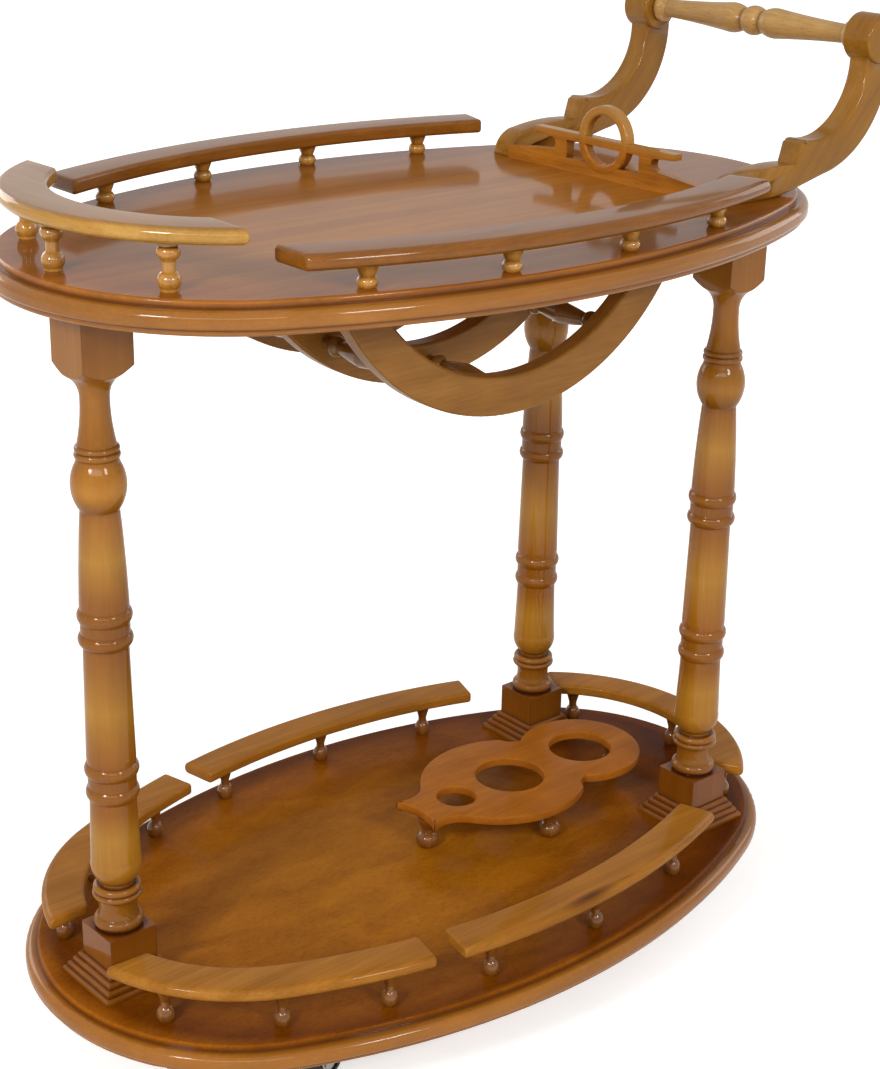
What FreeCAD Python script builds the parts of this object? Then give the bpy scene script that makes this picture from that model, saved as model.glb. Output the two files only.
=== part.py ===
# Serving trolley: two oval boards on three turned legs, with spindle galleries, a handle, a bottle
# cradle under the top, a bottle caddy on the shelf and four swivel casters. Millimetres; +Z is up,
# +X points to the handle and -Y is the front. The origin is on the floor, under the middle of the
# whole length.
import FreeCAD, Part
import itertools
import math
import operator
import os
import Sketcher
from collections import namedtuple
from types import SimpleNamespace
from FreeCAD import Placement, Rotation, Vector

# Driving dimensions: alias, value, what it is. Angles are in degrees, everything else in millimetres.
SIZES = (
    ("board_length", 798, "both boards, along X"),
    ("top_width", 480, "top board, along Y"),
    ("shelf_margin", 4, "lower shelf, how far each long side stands out beyond the top board's"),
    ("board_thickness", 25, "both boards"),
    ("field_inset", 11, "board edge: outermost line to the raised field"),
    ("field_rounding", 2.5, "board edge: bead round the field"),
    ("torus_base", 5, "board edge: underside to the large half round"),
    ("torus_height", 14, "board edge: height of the large half round"),
    ("torus_rounding", 6.5, "board edge: upper rounding of the half round"),
    ("torus_under_rounding", 3.4, "board edge: lower rounding of the half round"),
    ("bead_inset", 4, "board edge: outermost line to the lower bead"),
    ("bead_rounding", 2.4, "board edge: rounding of the lower bead"),
    ("fit_clearance", 0.15, "radial play of tenons, dowels and screws in their holes"),
    ("hole_spare", 1, "depth of a hole beyond the end of what it holds"),
    ("leg_length", 608, "legs, from shelf to top board"),
    ("leg_square", 46, "legs, plinth and top block"),
    ("plinth_height", 31, "legs, square plinth"),
    ("base_height", 21, "legs, stepped base under the plinth"),
    ("base_reach", 14, "legs, base beyond the plinth on each side"),
    ("reed_rounding", 2.8, "legs, rounding of the base's steps"),
    ("block_height", 60, "legs, square block under the top board"),
    ("pommel_height", 19, "legs, scooped shoulder under the block"),
    ("leg_bead_diameter", 46, "legs, widest bead"),
    ("leg_tenon_diameter", 22, "legs, tenons in both boards"),
    ("leg_tenon_length", 12, "legs, tenons in both boards"),
    ("top_rail_inset", 27, "top gallery, board's outline to the side rails' centre line"),
    ("top_end_rail_inset", 35, "top gallery, board's outline to the end rail's centre line"),
    ("top_rail_width", 40, "top gallery rails"),
    ("top_rail_thickness", 13, "top gallery rails"),
    ("end_spindle_height", 38, "raised end rail above the top board"),
    ("side_spindle_height", 19, "side rails above the top board"),
    ("lower_rail_inset", 36, "lower gallery, shelf's outline to the rail's centre line"),
    ("lower_rail_width", 38, "lower gallery rails"),
    ("lower_rail_thickness", 12, "lower gallery rails"),
    ("lower_spindle_height", 36, "lower rails above the shelf"),
    ("rail_rounding", 5, "all rails, rounding of the outer edge"),
    ("spindle_diameter", 18, "gallery spindles, widest turning"),
    ("spindle_tenon_diameter", 8, "gallery spindles and caddy feet, tenons"),
    ("spindle_tenon_length", 7, "gallery spindles and caddy feet, tenons"),
    ("arm_thickness", 24, "handle arms, along Y"),
    ("arm_curve_inset", 66, "handle arms, centre of their curve from the board's end"),
    ("arm_curve_height", 110, "handle arms, centre of their curve above the top board"),
    ("arm_inner_radius", 64, "handle arms, inside of the curve"),
    ("arm_outer_radius", 98, "handle arms, outside of the curve"),
    ("arm_top_angle", 14, "handle arms, boss above the curve's centre"),
    ("arm_bend_angle", -40, "handle arms, middle of the curve"),
    ("arm_start_angle", -102, "handle arms, where the inside of the curve begins"),
    ("arm_under_angle", -82, "handle arms, where the outside of the curve begins"),
    ("arm_leave_inset", 109, "handle arms, where the underside leaves the board, from the board's end"),
    ("arm_rounding", 4, "handle arms, rounding along the curve"),
    ("foot_tip_inset", 185, "handle arms, tip of the foot from the board's end"),
    ("foot_height", 28, "handle arms, foot above the board"),
    ("foot_nose_length", 24, "handle arms, round nose of the foot"),
    ("foot_step_inset", 92, "handle arms, cusp between foot and curve, from the board's end"),
    ("arm_dowel_diameter", 10, "dowels under the arms' feet"),
    ("arm_dowel_length", 24, "dowels under the arms' feet, half in the board"),
    ("arm_dowel_inset", 153, "dowels under the arms' feet, first from the board's end"),
    ("arm_dowel_pitch", 32, "dowels under the arms' feet, first to second"),
    ("boss_radius", 22, "handle arms, boss round the grip's end"),
    ("boss_rounding", 3.5, "handle arms, rounding of the bosses"),
    ("boss_thickness", 32, "handle arms, boss along Y"),
    ("grip_diameter", 28, "grip, widest turning"),
    ("grip_tenon_diameter", 14, "grip, tenons in the bosses"),
    ("grip_tenon_length", 14, "grip, tenons in the bosses"),
    ("fret_inset", 182, "fretwork panel, its middle plane from the board's end"),
    ("fret_thickness", 10, "fretwork panel"),
    ("fret_gap", 0.3, "fretwork panel, to the arms at each end"),
    ("fret_end_height", 12, "fretwork panel, base at the ends"),
    ("fret_base_height", 18, "fretwork panel, base at the posts"),
    ("fret_post_inner", 47, "fretwork panel, posts' inner side from the middle"),
    ("fret_post_outer", 66, "fretwork panel, posts' outer side from the middle"),
    ("fret_bar_reach", 90, "fretwork panel, tip of the bar from the middle"),
    ("fret_bar_base", 29, "fretwork panel, underside of the bar"),
    ("fret_bar_top", 36.5, "fretwork panel, top of the bar"),
    ("fret_window_base", 12.5, "fretwork panel, sill of the windows beside the ring"),
    ("fret_ring_height", 35.5, "fretwork panel, ring's centre above the board"),
    ("fret_ring_outer", 31, "fretwork panel, ring's outer radius"),
    ("fret_ring_inner", 25.5, "fretwork panel, ring's inner radius"),
    ("fret_dowel_diameter", 5, "dowels under the fretwork"),
    ("fret_dowel_length", 18, "dowels under the fretwork, half in the board"),
    ("fret_dowel_y", 84, "dowels under the fretwork, from the middle"),
    ("hoop_spacing", 116, "cradle, hoop to hoop"),
    ("hoop_thickness", 18, "cradle hoops, along Y"),
    ("hoop_outer_radius", 210, "cradle hoops, outside"),
    ("hoop_inner_radius", 176, "cradle hoops, inside"),
    ("hoop_centre_rise", 83, "cradle hoops, centre above the top board's underside"),
    ("hoop_rounding", 2.5, "cradle hoops, rounding along both arcs"),
    ("hoop_dowel_diameter", 8, "dowels in the hoops' ends"),
    ("hoop_dowel_length", 24, "dowels in the hoops' ends, half in the board"),
    ("cradle_spindle_diameter", 20, "cradle spindles, widest turning"),
    ("cradle_spindle_angle", 36, "cradle spindles, lowest to the next"),
    ("cradle_tenon_diameter", 9, "cradle spindles, tenons in the hoops"),
    ("cradle_tenon_length", 6, "cradle spindles, tenons in the hoops"),
    ("caddy_length", 284, "caddy plate, along X"),
    ("caddy_width", 156, "caddy plate, along Y"),
    ("caddy_thickness", 10, "caddy plate"),
    ("caddy_rounding", 2, "caddy plate, rounding of the holes' rims"),
    ("caddy_foot_height", 32, "caddy feet, from shelf to plate"),
    ("caddy_foot_diameter", 22, "caddy feet, widest turning"),
    ("small_bottle_diameter", 39, "caddy, hole at the tail"),
    ("wide_bottle_diameter", 69, "caddy, hole in the middle"),
    ("tall_bottle_diameter", 64, "caddy, hole at the head"),
    ("small_bottle_x", 53, "caddy, hole at the tail, from the tail"),
    ("wide_bottle_x", 124, "caddy, hole in the middle, from the tail"),
    ("tall_bottle_x", 222, "caddy, hole at the head, from the tail"),
    ("caddy_head_radius", 62, "caddy plate, round of the head"),
    ("caddy_tail_foot_x", 16, "caddy, foot at the tail, from the tail"),
    ("caddy_side_foot_x", 124, "caddy, feet at the sides, from the tail"),
    ("caddy_side_foot_y", 60, "caddy, feet at the sides, from the middle"),
    ("caddy_head_foot_x", 269, "caddy, foot at the head, from the tail"),
    ("caster_height", 55, "casters, floor to the shelf's underside"),
    ("plate_side", 40, "caster plate"),
    ("plate_thickness", 2.5, "caster plate"),
    ("plate_corner", 5, "caster plate, corner radius"),
    ("screw_offset", 14.5, "caster screws, from the king pin's axis along X and Y"),
    ("screw_diameter", 4, "caster screws, shank"),
    ("screw_length", 10, "caster screws, in the shelf"),
    ("screw_head_diameter", 7.5, "caster screws, head"),
    ("screw_head_height", 2, "caster screws, head"),
    ("housing_diameter", 20, "caster plate, bearing housing"),
    ("housing_height", 4, "caster plate, bearing housing below the plate"),
    ("king_pin_diameter", 8, "caster, king pin"),
    ("king_head_diameter", 13, "caster, king pin's head"),
    ("king_head_height", 2, "caster, king pin's head"),
    ("running_clearance", 0.08, "radial play of turning pins"),
    ("axial_clearance", 0.3, "end play of turning pieces"),
    ("crown_thickness", 3, "caster fork, crown"),
    ("crown_radius", 13, "caster fork, crown round the king pin"),
    ("cheek_thickness", 2.5, "caster fork, cheeks"),
    ("cheek_boss_radius", 6.5, "caster fork, cheeks round the axle"),
    ("trail", 17, "caster, king pin's axis to the axle"),
    ("wheel_diameter", 40, "caster wheel"),
    ("wheel_width", 16, "caster wheel, tread"),
    ("hub_width", 18, "caster wheel, hub"),
    ("hub_diameter", 13, "caster wheel, hub"),
    ("wheel_web", 9, "caster wheel, between rim and hub"),
    ("rim_diameter", 30, "caster wheel, inside of the rim"),
    ("wheel_rounding", 4, "caster wheel, shoulders of the tread"),
    ("axle_diameter", 5, "caster axle"),
    ("axle_head_diameter", 8.5, "caster axle, head at each end"),
    ("axle_head_height", 1.8, "caster axle, head at each end"),
)

# Turned profiles. Each row is a corner ("to") or a point that the next curve passes ("by"), with its
# height as a share of the turning's height and its radius as a share of the widest radius.
LEG_SHARES = (
    ("to", 0.000, 0.78), ("by", 0.011, 0.93), ("to", 0.022, 0.78), ("by", 0.040, 0.71), ("to", 0.059, 0.78),
    ("by", 0.065, 0.94), ("to", 0.071, 0.85), ("by", 0.077, 0.90), ("to", 0.083, 0.65), ("to", 0.090, 0.64),
    ("by", 0.105, 0.87), ("to", 0.133, 0.935), ("to", 0.240, 0.86), ("to", 0.250, 0.86), ("by", 0.262, 0.98),
    ("to", 0.274, 0.89), ("to", 0.294, 0.89), ("by", 0.306, 1.00), ("to", 0.318, 0.89), ("to", 0.328, 0.905),
    ("to", 0.526, 0.83), ("to", 0.533, 0.83), ("by", 0.545, 0.99), ("to", 0.557, 0.89), ("to", 0.576, 0.89),
    ("by", 0.588, 0.99), ("to", 0.600, 0.89), ("to", 0.610, 0.89), ("by", 0.690, 0.82), ("to", 0.772, 0.70),
    ("by", 0.814, 0.985), ("to", 0.852, 0.78), ("to", 0.859, 0.74), ("by", 0.865, 0.81), ("to", 0.871, 0.74),
    ("by", 0.876, 0.79), ("to", 0.881, 0.70), ("by", 0.920, 0.56), ("to", 0.963, 0.52), ("to", 1.000, 0.52),
)
END_SPINDLE_SHARES = (
    ("to", 0.00, 0.80), ("to", 0.06, 0.80), ("by", 0.22, 1.00), ("to", 0.38, 0.60), ("to", 0.58, 0.56),
    ("to", 0.63, 0.72), ("by", 0.76, 1.00), ("to", 0.88, 0.72), ("to", 0.90, 0.94), ("to", 1.00, 0.94),
)
SIDE_SPINDLE_SHARES = (
    ("to", 0.00, 0.66), ("by", 0.25, 0.92), ("to", 0.48, 0.62), ("to", 0.56, 0.70), ("to", 0.92, 1.00),
    ("to", 1.00, 1.00),
)
LOWER_SPINDLE_SHARES = (
    ("to", 0.00, 0.66), ("by", 0.21, 0.88), ("to", 0.42, 0.48), ("to", 0.54, 0.46), ("to", 0.84, 0.80),
    ("to", 0.86, 0.91), ("to", 1.00, 0.91),
)
CADDY_FOOT_SHARES = (
    ("to", 0.00, 0.66), ("by", 0.24, 1.00), ("to", 0.48, 0.55), ("to", 0.60, 0.50), ("to", 0.88, 0.86),
    ("to", 1.00, 0.86),
)
# The next two are half profiles: the second half mirrors the first.
GRIP_SHARES = (
    ("to", 0.00, 0.80), ("by", 0.02, 1.00), ("to", 0.04, 0.74), ("to", 0.05, 0.62), ("by", 0.22, 0.77),
    ("to", 0.375, 1.00), ("by", 0.43, 0.90), ("to", 0.455, 0.68), ("by", 0.50, 1.00),
)
CRADLE_SPINDLE_SHARES = (
    ("to", 0.00, 0.62), ("to", 0.08, 0.62), ("by", 0.14, 0.90), ("to", 0.20, 0.55), ("by", 0.36, 0.82),
    ("to", 0.50, 1.00),
)
# The caddy plate's edge from the tail's tip to the head: shares of its length and of its half width.
CADDY_EDGE_SHARES = (
    ("to", 0.000, 0.37), ("by", 0.060, 0.33), ("to", 0.134, 0.47), ("by", 0.380, 1.00), ("to", 0.588, 0.80),
    ("by", 0.612, 0.67),
)
CADDY_TAIL_SHARE = 0.025
CADDY_HEAD_START_SHARE = 0.645
# The foot of a handle arm: where its nose, its back and the cusp's rise pass, as shares of their spans.
NOSE_BEND_SHARES = (0.20, 0.55)
NOSE_TOP_SHARE = 0.85
CUSP_SHARE = 0.97
RISE_SHARES = (0.40, 0.86)
# The round ends of the boards: share of the board's width.
END_RADIUS_SHARE = 0.412
# Where the left leg and the handle-end legs stand along the boards, and the latter across them: shares of
# their length and width.
LEG_PLACE_SHARES = (0.4185, 0.331, 0.246)
# Where the casters stand: shares of the boards' length and width. Where an arm stands: share of the width.
CASTER_PLACE_SHARES = (0.30, 0.2917)
ARM_PLACE_SHARE = 0.29
# Rails round an end: outer edge, inner edge and outer spindles, as shares of the round end's half span.
TOP_END_SHARES = (0.90, 0.745, 0.585)
LOWER_END_SHARES = (0.794, 0.748, 0.641)
# Rails along a side: left end of the outer and of the inner edge, right end, first spindle and the step from
# spindle to spindle, as shares of the side's half span from its middle.
TOP_SIDE_SHARES = (-0.94, -1.0, 0.78, -0.76, 0.44)
LOWER_SIDE_SHARES = (-0.44, -0.44, 0.796, -0.302, 0.457)
# Corner rails: outer and inner tip and two spindles, as shares of the round end's half span; then the rail's
# end and the last spindle, as shares of the side's half span.
CORNER_END_SHARES = (0.214, 0.290, 0.453, 0.983)
CORNER_SIDE_SHARES = (-0.535, -0.665)
# The fretwork's notches and bar: shares of the spans that they bend across.
NOTCH_BEND_SHARE = 0.4
BAR_TIP_SHARE = 0.25
# The shoulder under a leg's block: shares of its depth, depth again and height.
SCOOP_SHARES = (0.36, 0.09, 0.55)
# The slot between a fork's cheeks and the corners of a plate: shares of trail and half side.
SLOT_SHARE = 3
CORNER_SHARE = 0.9

# How many of what repeats.
BASE_STEPS = 4
TOP_SIDE_SPINDLES = 4
LOWER_SIDE_SPINDLES = 3

SIDES = (("front", -1), ("rear", 1))
At = namedtuple("At", "x y")
By = namedtuple("By", "x y")

doc = FreeCAD.newDocument("ServingTrolley")
sheet = doc.addObject("Spreadsheet::Sheet", "Sizes")
free_rows = itertools.count(1)


class Size:
    """A length, angle or ratio from the sheet: its present value and the expression that keeps it."""

    def __init__(self, value, text):
        self.value = value
        self.text = text

    def __add__(self, other):
        return combine(self, "+", other)

    def __sub__(self, other):
        return combine(self, "-", other)

    def __mul__(self, other):
        return combine(self, "*", other)

    def __truediv__(self, other):
        return combine(self, "/", other)

    def __neg__(self):
        return combine(self, "*", -1)


def combine(first, sign, second):
    """Join a size and another size or a plain ratio with +, -, * or /."""
    other = second if isinstance(second, Size) else Size(second, "(%r)" % second)
    work = {"+": operator.add, "-": operator.sub, "*": operator.mul, "/": operator.truediv}
    return Size(work[sign](first.value, other.value), "(%s %s %s)" % (first.text, sign, other.text))


def root(size):
    return Size(math.sqrt(size.value), "sqrt(%s)" % size.text)


def direction(angle):
    """Unit vector at an angle from +X towards +Y."""
    turn = math.radians(angle.value)
    return At(Size(math.cos(turn), "cos(%s)" % angle.text), Size(math.sin(turn), "sin(%s)" % angle.text))


def between(first, second):
    """Unit vector half way between two others."""
    x = first.x + second.x
    y = first.y + second.y
    length = root(x * x + y * y)
    return At(x / length, y / length)


def angle_of(across, along):
    """Angle, in degrees, whose tangent is one length over another."""
    value = math.degrees(math.atan2(across.value, along.value))
    return Size(value, "atan(%s / %s)" % (across.text, along.text))


def write_row(alias, content, meaning):
    """Give a size its own row in the sheet: what it means, and its value or formula under an alias."""
    row = next(free_rows)
    sheet.set("A%d" % row, meaning)
    sheet.set("B%d" % row, content)
    sheet.setAlias("B%d" % row, alias)


def keep(alias, size, meaning):
    """Write a worked-out size to the sheet, so that what follows from it can name it."""
    write_row(alias, "=" + size.text.replace("Sizes.", ""), meaning)
    return Size(size.value, "Sizes." + alias)


def make_sheet():
    """Write the driving dimensions to the sheet and give each back as a Size."""
    for alias, value, meaning in SIZES:
        write_row(alias, str(value), meaning)
    doc.recompute()
    return SimpleNamespace(**{alias: Size(sheet.get(alias), "Sizes." + alias) for alias, _, _ in SIZES})


def bind(thing, name, size):
    """Give a property of a feature its size and the expression that keeps it."""
    setattr(thing, name, size.value)
    thing.setExpression(name, size.text)


def place(piece, x, y, z, rotation=Rotation()):
    """Set a piece down at x and y from the boards' middle and z above the floor."""
    spots = (("x", x - origin_shift if isinstance(x, Size) else -origin_shift), ("y", y), ("z", z))
    piece.Placement = Placement(Vector(*(s.value if isinstance(s, Size) else 0 for _, s in spots)), rotation)
    for axis, spot in spots:
        if isinstance(spot, Size):
            piece.setExpression("Placement.Base." + axis, spot.text)


def new_body(name):
    body = doc.addObject("PartDesign::Body", name)
    body.Label = name
    return body


def new_sketch(body, role, name, offset=None):
    """Sketch on one of the body's own origin planes, moved along the plane's normal by an offset."""
    sketch = body.newObject("Sketcher::SketchObject", body.Name + "_" + name)
    plane = next(feature for feature in body.Origin.OriginFeatures if feature.Role == role)
    sketch.AttachmentSupport = [(plane, "")]
    sketch.MapMode = "FlatFace"
    if offset is not None:
        sketch.AttachmentOffset = Placement(Vector(0, 0, offset.value), Rotation())
        sketch.setExpression("AttachmentOffset.Base.z", offset.text)
    return sketch


def hold(sketch, geometry, vertex, point):
    """Hold a vertex at a point, measured from the sketch's origin."""
    for size, kind, axis in ((point.x, "DistanceX", -2), (point.y, "DistanceY", -1)):
        if isinstance(size, Size):
            index = sketch.addConstraint(Sketcher.Constraint(kind, -1, 1, geometry, vertex, size.value))
            sketch.setExpression("Constraints[%d]" % index, size.text)
        else:
            sketch.addConstraint(Sketcher.Constraint("PointOnObject", geometry, vertex, axis))


def vector(point):
    """A sketch point as a plain vector; a bare zero lies on an axis."""
    return Vector(*(size.value if isinstance(size, Size) else 0 for size in (point.x, point.y)), 0)


def add_edge(sketch, start, bend, end):
    """Add a line, or an arc through a bend, and give back its number and its two vertices in order."""
    first = vector(start)
    last = vector(end)
    if bend is None:
        return sketch.addGeometry(Part.LineSegment(first, last)), 1, 2
    middle = vector(bend)
    circle = Part.Circle(first, middle, last)
    turn_left = (middle - first).cross(last - middle).z > 0
    near, far = (first, last) if turn_left else (last, first)
    angles = [math.atan2(point.y - circle.Center.y, point.x - circle.Center.x) for point in (near, far)]
    if angles[1] <= angles[0]:
        angles[1] += 2 * math.pi
    flat = Part.Circle(circle.Center, Vector(0, 0, 1), circle.Radius)
    number = sketch.addGeometry(Part.ArcOfCircle(flat, *angles))
    mark = sketch.addGeometry(Part.Point(middle), True)
    hold(sketch, mark, 1, bend)
    sketch.addConstraint(Sketcher.Constraint("PointOnObject", mark, 1, number))
    return (number, 1, 2) if turn_left else (number, 2, 1)


def draw(sketch, path):
    """Draw a closed outline through its corners, with an arc wherever a bend stands between two."""
    corners = [index for index, point in enumerate(path) if isinstance(point, At)]
    edges = []
    for count, index in enumerate(corners):
        following = corners[(count + 1) % len(corners)]
        after = path[(index + 1) % len(path)]
        bend = after if isinstance(after, By) else None
        edges.append(add_edge(sketch, path[index], bend, path[following]))
    for count, index in enumerate(corners):
        number, first, _ = edges[count]
        previous, _, last = edges[count - 1]
        sketch.addConstraint(Sketcher.Constraint("Coincident", previous, last, number, first))
        hold(sketch, number, first, path[index])


def draw_circle(sketch, point, radius):
    """Draw a circle held at its centre and by its radius."""
    circle = Part.Circle(vector(point), Vector(0, 0, 1), radius.value)
    number = sketch.addGeometry(circle)
    hold(sketch, number, 3, point)
    index = sketch.addConstraint(Sketcher.Constraint("Radius", number, radius.value))
    sketch.setExpression("Constraints[%d]" % index, radius.text)


def square(side):
    """Corners of a square round the sketch's origin."""
    half = side / 2
    return [At(-half, -half), At(half, -half), At(half, half), At(-half, half)]


def pad(body, sketch, length, symmetric=False):
    feature = body.newObject("PartDesign::Pad", sketch.Name + "_pad")
    feature.Profile = sketch
    feature.SideType = "Symmetric" if symmetric else "One side"
    bind(feature, "Length", length)
    return feature


def cut(body, kind, sketch, settings, backwards=False):
    """Cut a sketch into the body, and make sure that the cut takes something away."""
    doc.recompute()
    before = body.Shape.Volume
    feature = body.newObject("PartDesign::" + kind, sketch.Name + "_cut")
    feature.Profile = sketch
    feature.Reversed = backwards
    for name, size in settings.items():
        bind(feature, name, size)
    if kind == "Groove":
        feature.ReferenceAxis = (sketch, ["V_Axis"])
    doc.recompute()
    if not body.Shape.Volume < before:
        raise RuntimeError("%s cuts nothing" % feature.Name)
    return feature


def drill(body, role, name, points, radius, depth, offset=None, backwards=False):
    """Drill blind holes into the body, from a plane set off along its normal."""
    sketch = new_sketch(body, role, name, offset)
    for point in points:
        draw_circle(sketch, point, radius)
    return cut(body, "Pocket", sketch, {"Length": depth}, backwards)


def turn(body, name, path):
    """Turn a profile, drawn as radius and height, about the body's Z axis."""
    sketch = new_sketch(body, "XZ_Plane", name)
    draw(sketch, path)
    feature = body.newObject("PartDesign::Revolution", sketch.Name + "_turn")
    feature.Profile = sketch
    feature.ReferenceAxis = (sketch, ["V_Axis"])
    return feature


def round_edges(body, name, radius, wanted):
    """Round every edge that is wanted."""
    doc.recompute()
    base = body.Tip
    names = ["Edge%d" % number for number, edge in enumerate(base.Shape.Edges, start=1) if wanted(edge)]
    if not names:
        raise RuntimeError("%s has no edge to round" % body.Name)
    feature = body.newObject("PartDesign::Fillet", body.Name + "_" + name)
    feature.Base = (base, names)
    bind(feature, "Radius", radius)
    return feature


def has_radius(edge, sizes):
    """Tell whether an edge is an arc with one of some radii."""
    if not isinstance(edge.Curve, Part.Circle):
        return False
    return any(math.isclose(edge.Curve.Radius, size.value, rel_tol=1e-6) for size in sizes)


def at_height(edge, size):
    """Tell whether an edge lies flat at a height."""
    level = size.value if isinstance(size, Size) else size
    return all(math.isclose(vertex.Z, level, abs_tol=1e-6) for vertex in edge.Vertexes)


def on_side_face(edge, size):
    """Tell whether an edge lies in one of two planes at a distance from the middle plane, across Y."""
    return all(math.isclose(abs(vertex.Y), size.value, abs_tol=1e-6) for vertex in edge.Vertexes)


def on_rim(edge, side, height):
    """Tell whether an edge lies flat at a height, on the outline of a square of a side."""
    half = side.value / 2
    reaches = [max(abs(vertex.X), abs(vertex.Y)) for vertex in edge.Vertexes]
    return at_height(edge, height) and all(math.isclose(reach, half, abs_tol=1e-6) for reach in reaches)


def turned_path(shares, height, radius, tenon_radius, tenon_low, tenon_high, mirrored=False):
    """Profile of a turning that stands at height zero, with a tenon at each end."""
    rows = list(shares)
    if mirrored:
        middle = [] if rows[-1][0] == "by" else [rows[-1]]
        kept = rows if rows[-1][0] == "by" else rows[:-1]
        rows = kept + middle + [(kind, 1 - rise, reach) for kind, rise, reach in reversed(rows[:-1])]
    path = [At(0, -tenon_low), At(tenon_radius, -tenon_low), At(tenon_radius, 0)]
    for kind, rise, reach in rows:
        corner = At if kind == "to" else By
        path.append(corner(radius * reach, height * rise if rise else 0))
    path += [At(tenon_radius, height), At(tenon_radius, height + tenon_high), At(0, height + tenon_high)]
    return path


def turned_piece(name, path):
    body = new_body(name)
    turn(body, "profile", path)
    return body


def group(name, pattern, spots, rotation=Rotation()):
    """A node of equal pieces: copies of a pattern body's solid at some spots."""
    doc.recompute()
    copies = []
    for x, y, z in spots:
        solid = pattern.Shape.copy()
        values = [size.value if isinstance(size, Size) else 0 for size in (x, y, z)]
        solid.Placement = Placement(Vector(*values), rotation)
        copies.append(solid)
    node = doc.addObject("Part::Feature", name)
    node.Shape = Part.makeCompound(copies)
    node.Label = name
    node.Placement = Placement(Vector(-origin_shift.value, 0, 0), Rotation())
    nodes.append(node)
    return node


class Oval:
    """A four-arc oval: its round ends and its flatter sides meet in line."""

    def __init__(self, name, length, width):
        self.half_length = length / 2
        self.half_width = keep(name + "_half_width", width / 2, "half of its width")
        radius = keep(name + "_end_radius", width * END_RADIUS_SHARE, "radius of its round ends")
        self.end_radius = radius
        self.end_x = keep(name + "_end_x", self.half_length - radius, "middle of a round end")
        rest = self.end_x * self.end_x + self.half_width * self.half_width - radius * radius
        side_radius = rest / ((self.half_width - radius) * 2)
        self.side_radius = keep(name + "_side_radius", side_radius, "radius of its long sides")
        self.side_y = keep(name + "_side_y", self.side_radius - self.half_width, "middle of a side's arc")
        end_span = angle_of(self.side_y, self.end_x)
        self.end_span = keep(name + "_end_span", end_span, "half span of a round end")
        side_span = angle_of(self.end_x, self.side_y)
        self.side_span = keep(name + "_side_span", side_span, "half span of a long side")
        span = self.side_radius - radius
        self.join = At(self.end_x / span, self.side_y / span)

    def on_end(self, heading, offset, end, side):
        """Point on a round end: the heading is from the end's tip, the offset is outwards."""
        reach = self.end_radius + offset
        return At((self.end_x + reach * heading.x) * end, reach * heading.y * side)

    def on_side(self, heading, offset, side):
        """Point on a long side: the heading is from the side's middle towards the handle."""
        reach = self.side_radius + offset
        return At(reach * heading.y, (reach * heading.x - self.side_y) * side)

    def tip(self, offset, end):
        return At((self.half_length + offset) * end, 0)

    def outline(self, offset):
        """Closed outline, moved outwards by an offset."""
        path = []
        for end, side in ((1, 1), (-1, 1), (-1, -1), (1, -1)):
            path.append(self.on_end(self.join, offset, end, side))
            if end == side:
                path.append(By(0, (self.half_width + offset) * side))
            else:
                path.append(By(*self.tip(offset, end)))
        return path


def as_bend(point):
    return By(point.x, point.y)


def make_board(name, oval, height):
    """A board with its moulded edge: raised field, large half round and lower bead."""
    body = new_body(name)
    layers = (
        ("field", -sizes.field_inset, None, sizes.board_thickness),
        ("torus", 0, sizes.torus_base, sizes.torus_height),
        ("bead", -sizes.bead_inset, None, sizes.torus_base),
    )
    for layer, offset, base, thickness in layers:
        sketch = new_sketch(body, "XY_Plane", layer, base)
        draw(sketch, oval.outline(offset))
        pad(body, sketch, thickness)
    torus_top = sizes.torus_base + sizes.torus_height
    widest = (oval.end_radius, oval.side_radius)
    beaded = [radius - sizes.bead_inset for radius in widest]
    round_edges(body, "field_rounding", sizes.field_rounding,
                lambda edge: at_height(edge, sizes.board_thickness))
    round_edges(body, "torus_rounding", sizes.torus_rounding,
                lambda edge: at_height(edge, torus_top) and has_radius(edge, widest))
    round_edges(body, "torus_under_rounding", sizes.torus_under_rounding,
                lambda edge: at_height(edge, sizes.torus_base) and has_radius(edge, widest))
    round_edges(body, "bead_rounding", sizes.bead_rounding,
                lambda edge: at_height(edge, 0) and has_radius(edge, beaded))
    place(body, 0, 0, height)
    nodes.append(body)
    return body


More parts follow.
